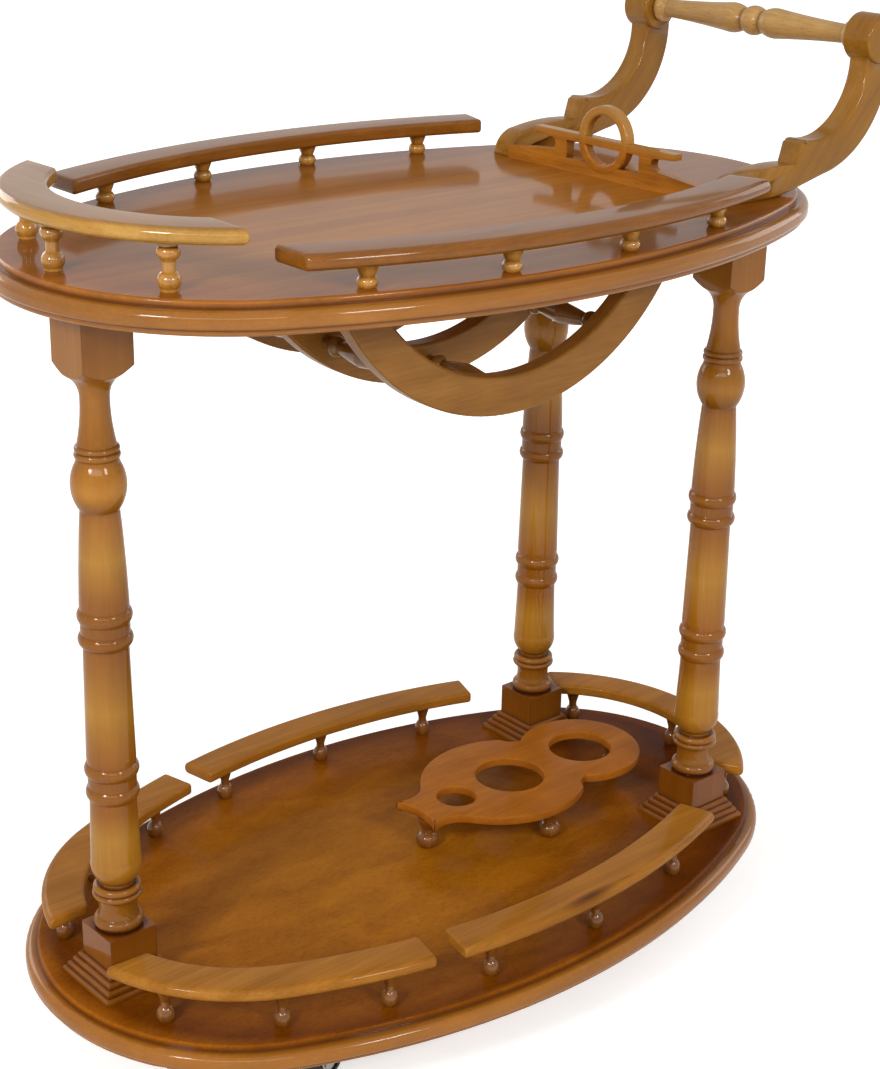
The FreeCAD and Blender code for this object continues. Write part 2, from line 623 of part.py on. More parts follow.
def make_leg(name, x, y):
    """A turned leg: stepped base, plinth, turning, scooped shoulder and top block, with a tenon at each end."""
    body = new_body(name)
    plinth_top = sizes.base_height + sizes.plinth_height
    turning = sizes.leg_length - plinth_top - sizes.block_height
    radius = sizes.leg_bead_diameter / 2
    tenon = sizes.leg_tenon_diameter / 2
    foot = -sizes.leg_tenon_length
    path = [At(0, foot), At(tenon, foot), At(tenon, plinth_top)]
    for kind, rise, reach in LEG_SHARES:
        corner = At if kind == "to" else By
        path.append(corner(radius * reach, plinth_top + turning * rise))
    top = sizes.leg_length + sizes.leg_tenon_length
    path += [At(tenon, sizes.leg_length - sizes.block_height), At(tenon, top), At(0, top)]
    turn(body, "turning", path)
    plinth = new_sketch(body, "XY_Plane", "plinth")
    draw(plinth, square(sizes.leg_square))
    pad(body, plinth, plinth_top)
    rims = []
    for count in range(BASE_STEPS):
        side = sizes.leg_square + sizes.base_reach * 2 * ((BASE_STEPS - count) / BASE_STEPS)
        level = sizes.base_height * ((count + 1) / BASE_STEPS)
        step = new_sketch(body, "XY_Plane", "base_step_%d" % count)
        draw(step, square(side))
        pad(body, step, level)
        rims.append((side, level))
    round_edges(body, "reeds", sizes.reed_rounding,
                lambda edge: any(on_rim(edge, side, level) for side, level in rims))
    shoulder = sizes.leg_length - sizes.block_height - sizes.pommel_height
    block = new_sketch(body, "XY_Plane", "block", shoulder)
    draw(block, square(sizes.leg_square))
    pad(body, block, sizes.block_height + sizes.pommel_height)
    scoop = new_sketch(body, "XZ_Plane", "scoop")
    neck = radius * LEG_SHARES[-1][2]
    full = sizes.leg_square
    block_base = shoulder + sizes.pommel_height
    depth = full - neck
    draw(scoop, [At(neck, shoulder), At(full, shoulder), At(full, block_base + sizes.pommel_height),
                 At(neck + depth * SCOOP_SHARES[0], block_base),
                 By(neck + depth * SCOOP_SHARES[1], shoulder + sizes.pommel_height * SCOOP_SHARES[2])])
    cut(body, "Groove", scoop, {})
    place(body, x, y, shelf_top)
    nodes.append(body)


def make_rail(name, oval, height, inset, width, thickness, path, spots):
    """A gallery rail: a plan outline with a round outer edge, and mortises for its spindles below."""
    body = new_body(name)
    sketch = new_sketch(body, "XY_Plane", "plan")
    draw(sketch, path)
    pad(body, sketch, thickness)
    outer = width / 2 - inset
    edges = (oval.end_radius + outer, oval.side_radius + outer)
    round_edges(body, "edge", sizes.rail_rounding, lambda edge: has_radius(edge, edges))
    drill(body, "XY_Plane", "mortises", spots, spindle_hole, spindle_depth, backwards=True)
    place(body, 0, 0, height)
    nodes.append(body)


def end_rail_path(oval, inset, width, shares, end):
    """Plan of a rail round one end of the oval."""
    outer = width / 2 - inset
    inner = -inset - width / 2
    far = direction(oval.end_span * shares[0])
    near = direction(oval.end_span * shares[1])
    return [oval.on_end(far, outer, end, -1), By(*oval.tip(outer, end)), oval.on_end(far, outer, end, 1),
            oval.on_end(near, inner, end, 1), By(*oval.tip(inner, end)), oval.on_end(near, inner, end, -1)]


def side_rail_path(oval, inset, width, shares, side):
    """Plan of a rail along one side of the oval."""
    outer = width / 2 - inset
    inner = -inset - width / 2
    stop = direction(oval.side_span * shares[2])
    path = []
    for offset, share in ((outer, shares[0]), (inner, shares[1])):
        start = direction(oval.side_span * share)
        run = [oval.on_side(start, offset, side), as_bend(oval.on_side(between(start, stop), offset, side)),
               oval.on_side(stop, offset, side)]
        path += run if offset is outer else run[::-1]
    return path


def corner_rail_path(side):
    """Plan of a lower rail that runs from the left end round onto a long side."""
    outer = sizes.lower_rail_width / 2 - sizes.lower_rail_inset
    inner = -sizes.lower_rail_inset - sizes.lower_rail_width / 2
    stop = direction(shelf_oval.side_span * CORNER_SIDE_SHARES[0])
    join = shelf_oval.join
    turned_join = At(join.y, -join.x)
    path = []
    for offset, share in ((outer, CORNER_END_SHARES[0]), (inner, CORNER_END_SHARES[1])):
        tip = direction(shelf_oval.end_span * share)
        run = [shelf_oval.on_end(tip, offset, -1, side),
               as_bend(shelf_oval.on_end(between(tip, join), offset, -1, side)),
               shelf_oval.on_end(join, offset, -1, side),
               as_bend(shelf_oval.on_side(between(turned_join, stop), offset, side)),
               shelf_oval.on_side(stop, offset, side)]
        path += run if offset is outer else run[::-1]
    return path


def end_spots(oval, inset, shares, end):
    """Spindles of an end rail: one at the tip and one at each side."""
    heading = direction(oval.end_span * shares[2])
    return [oval.tip(-inset, end)] + [oval.on_end(heading, -inset, end, side) for _, side in SIDES]


def side_spots(oval, inset, shares, count, side):
    """Evenly stepped spindles of a side rail."""
    angles = [oval.side_span * (shares[3] + shares[4] * number) for number in range(count)]
    return [oval.on_side(direction(angle), -inset, side) for angle in angles]


def corner_spots(side):
    """Spindles of a corner rail: two on the round end and one on the long side."""
    inset = sizes.lower_rail_inset
    headings = [direction(shelf_oval.end_span * share) for share in CORNER_END_SHARES[2:]]
    last = direction(shelf_oval.side_span * CORNER_SIDE_SHARES[1])
    spots = [shelf_oval.on_end(heading, -inset, -1, side) for heading in headings]
    return spots + [shelf_oval.on_side(last, -inset, side)]


def at_level(spots, height):
    return [(spot.x, spot.y, height) for spot in spots]


def spindle_pattern(name, shares, height):
    tenon = sizes.spindle_tenon_length
    return turned_piece(name, turned_path(shares, height, sizes.spindle_diameter / 2,
                                          sizes.spindle_tenon_diameter / 2, tenon, tenon))


def make_top_gallery():
    """Raised rail round the left end and a lower rail along each side, on turned spindles."""
    end_inset = sizes.top_end_rail_inset
    inset = sizes.top_rail_inset
    width = sizes.top_rail_width
    tall = spindle_pattern("end_spindle", END_SPINDLE_SHARES, sizes.end_spindle_height)
    short = spindle_pattern("side_spindle", SIDE_SPINDLE_SHARES, sizes.side_spindle_height)
    spots = end_spots(top_oval, end_inset, TOP_END_SHARES, -1)
    path = end_rail_path(top_oval, end_inset, width, TOP_END_SHARES, -1)
    make_rail("top_end_rail", top_oval, top_surface + sizes.end_spindle_height, end_inset, width,
              sizes.top_rail_thickness, path, spots)
    group("top_end_spindles", tall, at_level(spots, top_surface))
    holes = list(spots)
    for word, side in SIDES:
        spots = side_spots(top_oval, inset, TOP_SIDE_SHARES, TOP_SIDE_SPINDLES, side)
        path = side_rail_path(top_oval, inset, width, TOP_SIDE_SHARES, side)
        make_rail("top_%s_rail" % word, top_oval, top_surface + sizes.side_spindle_height, inset, width,
                  sizes.top_rail_thickness, path, spots)
        group("top_%s_spindles" % word, short, at_level(spots, top_surface))
        holes += spots
    drill_top("spindle_mortises", holes, spindle_hole, spindle_depth)


def make_lower_gallery():
    """Five rails round the shelf, on turned spindles: two at each side and one at the handle end."""
    inset = sizes.lower_rail_inset
    width = sizes.lower_rail_width
    pattern = spindle_pattern("lower_spindle", LOWER_SPINDLE_SHARES, sizes.lower_spindle_height)
    rails = [("end", end_rail_path(shelf_oval, inset, width, LOWER_END_SHARES, 1),
              end_spots(shelf_oval, inset, LOWER_END_SHARES, 1))]
    for word, side in SIDES:
        rails.append((word + "_left", corner_rail_path(side), corner_spots(side)))
        rails.append((word + "_right", side_rail_path(shelf_oval, inset, width, LOWER_SIDE_SHARES, side),
                      side_spots(shelf_oval, inset, LOWER_SIDE_SHARES, LOWER_SIDE_SPINDLES, side)))
    holes = []
    for word, path, spots in rails:
        make_rail("lower_%s_rail" % word, shelf_oval, shelf_top + sizes.lower_spindle_height, inset, width,
                  sizes.lower_rail_thickness, path, spots)
        group("lower_%s_spindles" % word, pattern, at_level(spots, shelf_top))
        holes += spots
    drill_shelf("spindle_mortises", holes, spindle_hole, spindle_depth)


def drill_top(name, spots, radius, depth):
    """Holes in the top board's upper side."""
    drill(top_board, "XY_Plane", name, spots, radius, depth, sizes.board_thickness)


def drill_shelf(name, spots, radius, depth):
    """Holes in the shelf's upper side."""
    drill(lower_shelf, "XY_Plane", name, spots, radius, depth, sizes.board_thickness)


def make_legs():
    """One leg at the left end and two at the handle end, and their mortises."""
    left, handle, across = LEG_PLACE_SHARES
    spots = [At(sizes.board_length * -left, 0)]
    spots += [At(sizes.board_length * handle, sizes.top_width * (across * side)) for _, side in SIDES]
    for word, spot in zip(("left", "front", "rear"), spots):
        make_leg("leg_" + word, spot.x, spot.y)
    radius = sizes.leg_tenon_diameter / 2 + sizes.fit_clearance
    depth = sizes.leg_tenon_length + sizes.hole_spare
    drill_shelf("leg_mortises", spots, radius, depth)
    drill(top_board, "XY_Plane", "leg_mortises", spots, radius, depth, backwards=True)


def arm_point(radius, heading):
    """Point on the arms' curve, from the boards' middle and the top board's surface."""
    return At(arm_curve_x + radius * heading.x, sizes.arm_curve_height + radius * heading.y)


def make_arm(word, side):
    """A handle arm, cut from a thick board: foot with a round nose, cusp, quarter curve and boss."""
    body = new_body("handle_arm_" + word)
    inner = sizes.arm_inner_radius
    outer = sizes.arm_outer_radius
    top = direction(sizes.arm_top_angle)
    bend = direction(sizes.arm_bend_angle)
    start = arm_point(inner, direction(sizes.arm_start_angle))
    tip = handle_end - sizes.foot_tip_inset
    nose_x = tip + sizes.foot_nose_length
    nose_top = sizes.foot_height * NOSE_TOP_SHARE
    cusp = At(handle_end - sizes.foot_step_inset, sizes.foot_height * CUSP_SHARE)
    rise = At(start.x - cusp.x, start.y - cusp.y)
    sketch = new_sketch(body, "XZ_Plane", "profile")
    draw(sketch, [
        At(tip, 0),
        By(tip + sizes.foot_nose_length * NOSE_BEND_SHARES[0], nose_top * NOSE_BEND_SHARES[1]),
        At(nose_x, nose_top),
        By((nose_x + cusp.x) / 2, sizes.foot_height),
        cusp,
        At(cusp.x + rise.x * RISE_SHARES[0], cusp.y + rise.y * RISE_SHARES[1]),
        start,
        as_bend(arm_point(inner, bend)),
        arm_point(inner, top),
        arm_point(outer, top),
        as_bend(arm_point(outer, bend)),
        arm_point(outer, direction(sizes.arm_under_angle)),
        At(handle_end - sizes.arm_leave_inset, 0),
    ])
    pad(body, sketch, sizes.arm_thickness, symmetric=True)
    round_edges(body, "edge", sizes.arm_rounding, lambda edge: has_radius(edge, (inner, outer)))
    boss = new_sketch(body, "XZ_Plane", "boss")
    draw_circle(boss, boss_centre, sizes.boss_radius)
    pad(body, boss, sizes.boss_thickness, symmetric=True)
    face = sizes.boss_thickness / 2
    round_edges(body, "boss_rounding", sizes.boss_rounding, lambda edge: on_side_face(edge, face))
    radius = sizes.grip_tenon_diameter / 2 + sizes.fit_clearance
    depth = sizes.grip_tenon_length + sizes.hole_spare
    drill(body, "XZ_Plane", "grip_mortise", [boss_centre], radius, depth, sizes.boss_thickness * (side / 2),
          backwards=side < 0)
    drill(body, "XY_Plane", "dowel_holes", [At(x, 0) for x in arm_dowel_x], arm_dowel_hole, arm_dowel_depth,
          backwards=True)
    place(body, 0, arm_y * side, top_surface)
    nodes.append(body)


def make_handle():
    """Two arms on dowels and a turned grip between their bosses."""
    for word, side in SIDES:
        make_arm(word, side)
    length = arm_y * 2 - sizes.boss_thickness
    tenon = sizes.grip_tenon_length
    path = turned_path(GRIP_SHARES, length, sizes.grip_diameter / 2, sizes.grip_tenon_diameter / 2, tenon,
                       tenon, mirrored=True)
    grip = turned_piece("handle_grip", path)
    place(grip, boss_centre.x, -length / 2, top_surface + boss_centre.y, Rotation(Vector(1, 0, 0), -90))
    nodes.append(grip)
    spots = [At(x, arm_y * side) for x in arm_dowel_x for _, side in SIDES]
    drill_top("arm_dowel_holes", spots, arm_dowel_hole, arm_dowel_depth)
    dowel = dowel_pattern("arm_dowel", sizes.arm_dowel_diameter, sizes.arm_dowel_length)
    group("handle_dowels", dowel, at_level(spots, top_surface))


def dowel_pattern(name, diameter, length):
    """A plain dowel, half above and half below its joint."""
    radius = diameter / 2
    half = length / 2
    return turned_piece(name, [At(0, -half), At(radius, -half), At(radius, half), At(0, half)])


def make_fretwork():
    """The pierced panel between the arms' feet: base, posts, bar with free tips, and a ring."""
    body = new_body("fretwork_panel")
    reach = arm_y - sizes.arm_thickness / 2 - sizes.fret_gap
    ring_z = sizes.fret_ring_height
    outer = sizes.fret_ring_outer
    inner = sizes.fret_ring_inner
    bar_low = sizes.fret_bar_base
    bar_high = sizes.fret_bar_top
    post = sizes.fret_post_outer
    notch_low = sizes.fret_base_height
    bar_tip = bar_low + (bar_high - bar_low) * BAR_TIP_SHARE
    notch_bend = post - (bar_low - notch_low) * NOTCH_BEND_SHARE

    def across(radius, level):
        """Half width of a circle round the ring's centre at a level."""
        rise = level - ring_z
        return root(radius * radius - rise * rise)

    def half(sign):
        return [At(reach * sign, 0), At(reach * sign, sizes.fret_end_height), At(post * sign, notch_low),
                By(notch_bend * sign, (notch_low + bar_low) / 2), At(post * sign, bar_low),
                At(sizes.fret_bar_reach * sign, bar_tip), At(sizes.fret_bar_reach * sign, bar_high),
                At(across(outer, bar_high) * sign, bar_high)]

    sketch = new_sketch(body, "YZ_Plane", "outline")
    draw(sketch, half(1) + [By(0, ring_z + outer)] + half(-1)[::-1])
    for sign in (1, -1):
        sill = sizes.fret_window_base
        middle = (sill + bar_low) / 2
        draw(sketch, [At(across(outer, sill) * sign, sill), At(sizes.fret_post_inner * sign, sill),
                      At(sizes.fret_post_inner * sign, bar_low), At(across(outer, bar_low) * sign, bar_low),
                      By(across(outer, middle) * sign, middle)])
    for level, far in ((bar_low, ring_z - inner), (bar_high, ring_z + inner)):
        draw(sketch, [At(across(inner, level), level), At(-across(inner, level), level), By(0, far)])
    pad(body, sketch, sizes.fret_thickness, symmetric=True)
    radius = sizes.fret_dowel_diameter / 2 + sizes.fit_clearance
    depth = sizes.fret_dowel_length / 2 + sizes.hole_spare
    holes = [At(0, sizes.fret_dowel_y * side) for _, side in SIDES]
    drill(body, "XY_Plane", "dowel_holes", holes, radius, depth, backwards=True)
    place(body, fret_x, 0, top_surface)
    nodes.append(body)
    spots = [At(fret_x, sizes.fret_dowel_y * side) for _, side in SIDES]
    drill_top("fret_dowel_holes", spots, radius, depth)
    dowel = dowel_pattern("fret_dowel", sizes.fret_dowel_diameter, sizes.fret_dowel_length)
    group("fretwork_dowels", dowel, at_level(spots, top_surface))


def make_hoop(word, count):
    """A cradle hoop: an arc board with flat ends, mortised for the spindles on the sides that carry them."""
    body = new_body("cradle_hoop_" + word)
    outer = sizes.hoop_outer_radius
    inner = sizes.hoop_inner_radius
    rise = sizes.hoop_centre_rise
    sketch = new_sketch(body, "XZ_Plane", "profile")
    draw(sketch, [At(-hoop_outer_x, -rise), By(0, -outer), At(hoop_outer_x, -rise), At(hoop_inner_x, -rise),
                  By(0, -inner), At(-hoop_inner_x, -rise)])
    pad(body, sketch, sizes.hoop_thickness, symmetric=True)
    round_edges(body, "edge", sizes.hoop_rounding, lambda edge: has_radius(edge, (inner, outer)))
    radius = sizes.cradle_tenon_diameter / 2 + sizes.fit_clearance
    depth = sizes.cradle_tenon_length + sizes.hole_spare
    half = sizes.hoop_thickness / 2
    if count < 1:
        drill(body, "XZ_Plane", "rear_mortises", cradle_spots, radius, depth, -half, backwards=True)
    if count > -1:
        drill(body, "XZ_Plane", "front_mortises", cradle_spots, radius, depth, half)
    dowels = [At(hoop_dowel_x, 0), At(-hoop_dowel_x, 0)]
    drill(body, "XY_Plane", "dowel_holes", dowels, hoop_dowel_hole, hoop_dowel_depth, -rise)
    y = sizes.hoop_spacing * count if count else 0
    place(body, 0, y, top_underside + rise)
    nodes.append(body)
    return [At(spot.x, y) for spot in dowels]


def make_cradle():
    """Three hoops under the middle of the top board, joined by two bays of turned spindles."""
    spots = []
    for count, word in ((-1, "front"), (0, "middle"), (1, "rear")):
        spots += make_hoop(word, count)
    drill(top_board, "XY_Plane", "hoop_dowel_holes", spots, hoop_dowel_hole, hoop_dowel_depth,
          backwards=True)
    dowel = dowel_pattern("hoop_dowel", sizes.hoop_dowel_diameter, sizes.hoop_dowel_length)
    group("hoop_dowels", dowel, at_level(spots, top_underside))
    length = sizes.hoop_spacing - sizes.hoop_thickness
    tenon = sizes.cradle_tenon_length
    path = turned_path(CRADLE_SPINDLE_SHARES, length, sizes.cradle_spindle_diameter / 2,
                       sizes.cradle_tenon_diameter / 2, tenon, tenon, mirrored=True)
    pattern = turned_piece("cradle_spindle", path)
    level = top_underside + sizes.hoop_centre_rise
    half = sizes.hoop_thickness / 2
    for word, start in (("front", half - sizes.hoop_spacing), ("rear", half)):
        places = [(spot.x, start, level + spot.y) for spot in cradle_spots]
        group("cradle_spindles_" + word, pattern, places, Rotation(Vector(1, 0, 0), -90))


def make_caddy():
    """A fish-shaped bottle plate with three holes, on four turned feet, its tail at the shelf's middle."""
    body = new_body("caddy_plate")
    half_width = sizes.caddy_width / 2
    edge = []
    for kind, along, reach in CADDY_EDGE_SHARES:
        corner = At if kind == "to" else By
        edge.append((corner, sizes.caddy_length * along if along else 0, half_width * reach))
    head_x = sizes.caddy_length * CADDY_HEAD_START_SHARE
    head_centre = sizes.caddy_length - sizes.caddy_head_radius
    inset = head_centre - head_x
    head_y = root(sizes.caddy_head_radius * sizes.caddy_head_radius - inset * inset)
    upper = [corner(x, y) for corner, x, y in edge] + [At(head_x, head_y)]
    lower = [At(head_x, -head_y)] + [corner(x, -y) for corner, x, y in reversed(edge)]
    sketch = new_sketch(body, "XY_Plane", "outline")
    head_bend = By(sizes.caddy_length, 0)
    tail_bend = By(sizes.caddy_length * CADDY_TAIL_SHARE, 0)
    draw(sketch, upper + [head_bend] + lower + [tail_bend])
    for x, diameter in ((sizes.small_bottle_x, sizes.small_bottle_diameter),
                        (sizes.wide_bottle_x, sizes.wide_bottle_diameter),
                        (sizes.tall_bottle_x, sizes.tall_bottle_diameter)):
        draw_circle(sketch, At(x, 0), diameter / 2)
    pad(body, sketch, sizes.caddy_thickness)
    round_edges(body, "rims", sizes.caddy_rounding,
                lambda edge: edge.isClosed() and at_height(edge, sizes.caddy_thickness))
    feet = [At(sizes.caddy_tail_foot_x, 0), At(sizes.caddy_head_foot_x, 0)]
    feet += [At(sizes.caddy_side_foot_x, sizes.caddy_side_foot_y * side) for _, side in SIDES]
    drill(body, "XY_Plane", "foot_mortises", feet, spindle_hole, spindle_depth, backwards=True)
    place(body, 0, 0, shelf_top + sizes.caddy_foot_height)
    nodes.append(body)
    drill_shelf("caddy_mortises", feet, spindle_hole, spindle_depth)
    tenon = sizes.spindle_tenon_length
    path = turned_path(CADDY_FOOT_SHARES, sizes.caddy_foot_height, sizes.caddy_foot_diameter / 2,
                       sizes.spindle_tenon_diameter / 2, tenon, tenon)
    group("caddy_feet", turned_piece("caddy_foot", path), at_level(feet, shelf_top))


def make_caster_plate(name, x, y):
    """Square mounting plate with its bearing housing and the headed king pin below."""
    body = new_body(name)
    sketch = new_sketch(body, "XY_Plane", "plate", -sizes.plate_thickness)
    draw(sketch, square(sizes.plate_side))
    pad(body, sketch, sizes.plate_thickness)
    corner = sizes.plate_side / 2
    round_edges(body, "corners", sizes.plate_corner, lambda edge: is_upright(edge) and is_far(edge, corner))
    housing = sizes.housing_diameter / 2
    pin = sizes.king_pin_diameter / 2
    head = sizes.king_head_diameter / 2
    turn(body, "king_pin", [At(0, -sizes.plate_thickness), At(housing, -sizes.plate_thickness),
                            At(housing, -housing_base), At(pin, -housing_base), At(pin, -king_head_top),
                            At(head, -king_head_top), At(head, -king_head_top - sizes.king_head_height),
                            At(0, -king_head_top - sizes.king_head_height)])
    drill(body, "XY_Plane", "screw_holes", screw_spots, sizes.screw_diameter / 2 + sizes.fit_clearance,
          sizes.plate_thickness)
    place(body, x, y, sizes.caster_height)
    nodes.append(body)


def is_upright(edge):
    return math.isclose(abs(edge.tangentAt(edge.FirstParameter).z), 1, rel_tol=1e-6)


def is_far(edge, size):
    """Tell whether an edge stands at a corner of a square with this half side."""
    spot = edge.CenterOfMass
    return min(abs(spot.x), abs(spot.y)) > size.value * CORNER_SHARE


def make_caster_fork(name, x, y):
    """A trailing fork: crown round the king pin, and two tapering cheeks that carry the axle."""
    body = new_body(name)
    crown_top = housing_base + sizes.axial_clearance
    width = fork_gap + sizes.cheek_thickness * 2
    boss = sizes.cheek_boss_radius
    crown = new_sketch(body, "XY_Plane", "crown", -crown_top - sizes.crown_thickness)
    half = width / 2
    draw(crown, [At(0, -half), At(sizes.trail, -half), At(sizes.trail, half), At(0, half),
                 By(-sizes.crown_radius, 0)])
    pad(body, crown, sizes.crown_thickness)
    cheek = new_sketch(body, "XZ_Plane", "cheeks")
    axle_z = -sizes.caster_height + sizes.wheel_diameter / 2
    draw(cheek, [At(0, -crown_top), At(0, -crown_top - sizes.crown_thickness),
                 At(sizes.trail - boss, axle_z), By(sizes.trail, axle_z - boss),
                 At(sizes.trail + boss, axle_z), At(sizes.trail, -crown_top)])
    pad(body, cheek, width, symmetric=True)
    slot = new_sketch(body, "XY_Plane", "slot", -crown_top - sizes.crown_thickness)
    far = sizes.trail * SLOT_SHARE
    gap = fork_gap / 2
    draw(slot, [At(-far, -gap), At(far, -gap), At(far, gap), At(-far, gap)])
    cut(body, "Pocket", slot, {"Length": sizes.caster_height})
    pin_hole = sizes.king_pin_diameter / 2 + sizes.running_clearance
    drill(body, "XY_Plane", "king_pin_hole", [At(0, 0)], pin_hole, sizes.crown_thickness, -crown_top)
    drill(body, "XZ_Plane", "axle_holes", [At(sizes.trail, axle_z)],
          sizes.axle_diameter / 2 + sizes.running_clearance, width, half)
    place(body, x, y, sizes.caster_height)
    nodes.append(body)


def make_caster_axle(name, x, y):
    """A plain axle with a flat head outside each cheek."""
    radius = sizes.axle_diameter / 2
    head = sizes.axle_head_diameter / 2
    half = fork_gap / 2 + sizes.cheek_thickness
    end = half + sizes.axle_head_height
    body = turned_piece(name, [At(0, -end), At(head, -end), At(head, -half), At(radius, -half),
                               At(radius, half), At(head, half), At(head, end), At(0, end)])
    place(body, x + sizes.trail, y, sizes.wheel_diameter / 2, Rotation(Vector(1, 0, 0), -90))
    nodes.append(body)


def make_caster_wheel(name, x, y):
    """A wheel with rounded tread shoulders, a thin web and a hub bored for the axle."""
    bore = sizes.axle_diameter / 2 + sizes.running_clearance
    hub = sizes.hub_diameter / 2
    rim = sizes.rim_diameter / 2
    tread = sizes.wheel_diameter / 2
    half_hub = sizes.hub_width / 2
    half_web = sizes.wheel_web / 2
    half = sizes.wheel_width / 2
    body = turned_piece(name, [At(bore, -half_hub), At(hub, -half_hub), At(hub, -half_web),
                               At(rim, -half_web), At(rim, -half), At(tread, -half), At(tread, half),
                               At(rim, half), At(rim, half_web), At(hub, half_web), At(hub, half_hub),
                               At(bore, half_hub)])
    round_edges(body, "shoulders", sizes.wheel_rounding, lambda edge: has_radius(edge, (tread,)))
    place(body, x + sizes.trail, y, sizes.wheel_diameter / 2, Rotation(Vector(1, 0, 0), -90))
    nodes.append(body)


def make_casters():
    """Four swivel casters under the shelf, each held by four screws."""
    head = sizes.screw_head_diameter / 2
    shank = sizes.screw_diameter / 2
    under = sizes.plate_thickness
    base = -under - sizes.screw_head_height
    screw = turned_piece("caster_screw", [At(0, base), At(head, base), At(head, -under), At(shank, -under),
                                          At(shank, sizes.screw_length), At(0, sizes.screw_length)])
    spots = []
    for end, end_word in ((-1, "left"), (1, "right")):
        for side_word, side in SIDES:
            x = sizes.board_length * (CASTER_PLACE_SHARES[0] * end)
            y = sizes.top_width * (CASTER_PLACE_SHARES[1] * side)
            words = side_word + "_" + end_word
            make_caster_plate("caster_plate_" + words, x, y)
            make_caster_fork("caster_fork_" + words, x, y)
            make_caster_axle("caster_axle_" + words, x, y)
            make_caster_wheel("caster_wheel_" + words, x, y)
            spots += [At(x + spot.x, y + spot.y) for spot in screw_spots]
    drill(lower_shelf, "XY_Plane", "screw_pilots", spots, shank + sizes.fit_clearance,
          sizes.screw_length + sizes.hole_spare, backwards=True)
    group("caster_screws", screw, at_level(spots, sizes.caster_height))


def check_all():
    """Stop if any object failed or any node's solid is missing or unsound."""
    doc.recompute()
    for thing in doc.Objects:
        if "Invalid" in thing.State or "Error" in thing.State:
            raise RuntimeError("%s failed: %s" % (thing.Name, thing.State))
    for node in nodes:
        if node.Shape.isNull() or not node.Shape.isValid() or not node.Shape.Solids:
            raise RuntimeError("%s has no sound solid" % node.Label)


def write_all():
    os.makedirs("parts", exist_ok=True)
    for node in nodes:
        node.Shape.exportStep("parts/%s.step" % node.Label)
    print("%d nodes written" % len(nodes))


sizes = make_sheet()
nodes = []
origin_shift = (sizes.arm_outer_radius - sizes.arm_curve_inset) / 2
handle_end = sizes.board_length / 2
shelf_top = sizes.caster_height + sizes.board_thickness
top_underside = shelf_top + sizes.leg_length
top_surface = top_underside + sizes.board_thickness
top_oval = Oval("top", sizes.board_length, sizes.top_width)
shelf_oval = Oval("shelf", sizes.board_length, sizes.top_width + sizes.shelf_margin * 2)
spindle_hole = sizes.spindle_tenon_diameter / 2 + sizes.fit_clearance
spindle_depth = sizes.spindle_tenon_length + sizes.hole_spare
arm_y = sizes.top_width * ARM_PLACE_SHARE
arm_curve_x = handle_end - sizes.arm_curve_inset
fret_x = handle_end - sizes.fret_inset
arm_radius = (sizes.arm_inner_radius + sizes.arm_outer_radius) / 2
boss_centre = arm_point(arm_radius, direction(sizes.arm_top_angle))
first_dowel_x = handle_end - sizes.arm_dowel_inset
arm_dowel_x = (first_dowel_x, first_dowel_x + sizes.arm_dowel_pitch)
arm_dowel_hole = sizes.arm_dowel_diameter / 2 + sizes.fit_clearance
arm_dowel_depth = sizes.arm_dowel_length / 2 + sizes.hole_spare
hoop_rise_squared = sizes.hoop_centre_rise * sizes.hoop_centre_rise
hoop_outer_x = root(sizes.hoop_outer_radius * sizes.hoop_outer_radius - hoop_rise_squared)
hoop_inner_x = root(sizes.hoop_inner_radius * sizes.hoop_inner_radius - hoop_rise_squared)
hoop_dowel_x = (hoop_outer_x + hoop_inner_x) / 2
hoop_dowel_hole = sizes.hoop_dowel_diameter / 2 + sizes.fit_clearance
hoop_dowel_depth = sizes.hoop_dowel_length / 2 + sizes.hole_spare
cradle_radius = (sizes.hoop_outer_radius + sizes.hoop_inner_radius) / 2
cradle_heading = direction(sizes.cradle_spindle_angle)
cradle_across = cradle_radius * cradle_heading.y
cradle_drop = cradle_radius * cradle_heading.x
cradle_spots = [At(0, -cradle_radius), At(-cradle_across, -cradle_drop), At(cradle_across, -cradle_drop)]
housing_base = sizes.plate_thickness + sizes.housing_height
king_head_top = housing_base + sizes.axial_clearance * 2 + sizes.crown_thickness
fork_gap = sizes.hub_width + sizes.axial_clearance * 2
screw_spots = [At(sizes.screw_offset * i, sizes.screw_offset * j) for i in (-1, 1) for j in (-1, 1)]

top_board = make_board("top_board", top_oval, top_underside)
lower_shelf = make_board("lower_shelf", shelf_oval, sizes.caster_height)
make_legs()
make_top_gallery()
make_lower_gallery()
make_handle()
make_fretwork()
make_cradle()
make_caddy()
make_casters()
check_all()
write_all()
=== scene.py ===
"""Oval serving trolley in honey-stained wood under gloss lacquer: the finishes, the light and the camera."""
import math

import bmesh
import bpy
import numpy as np
from mathutils import Matrix, Vector


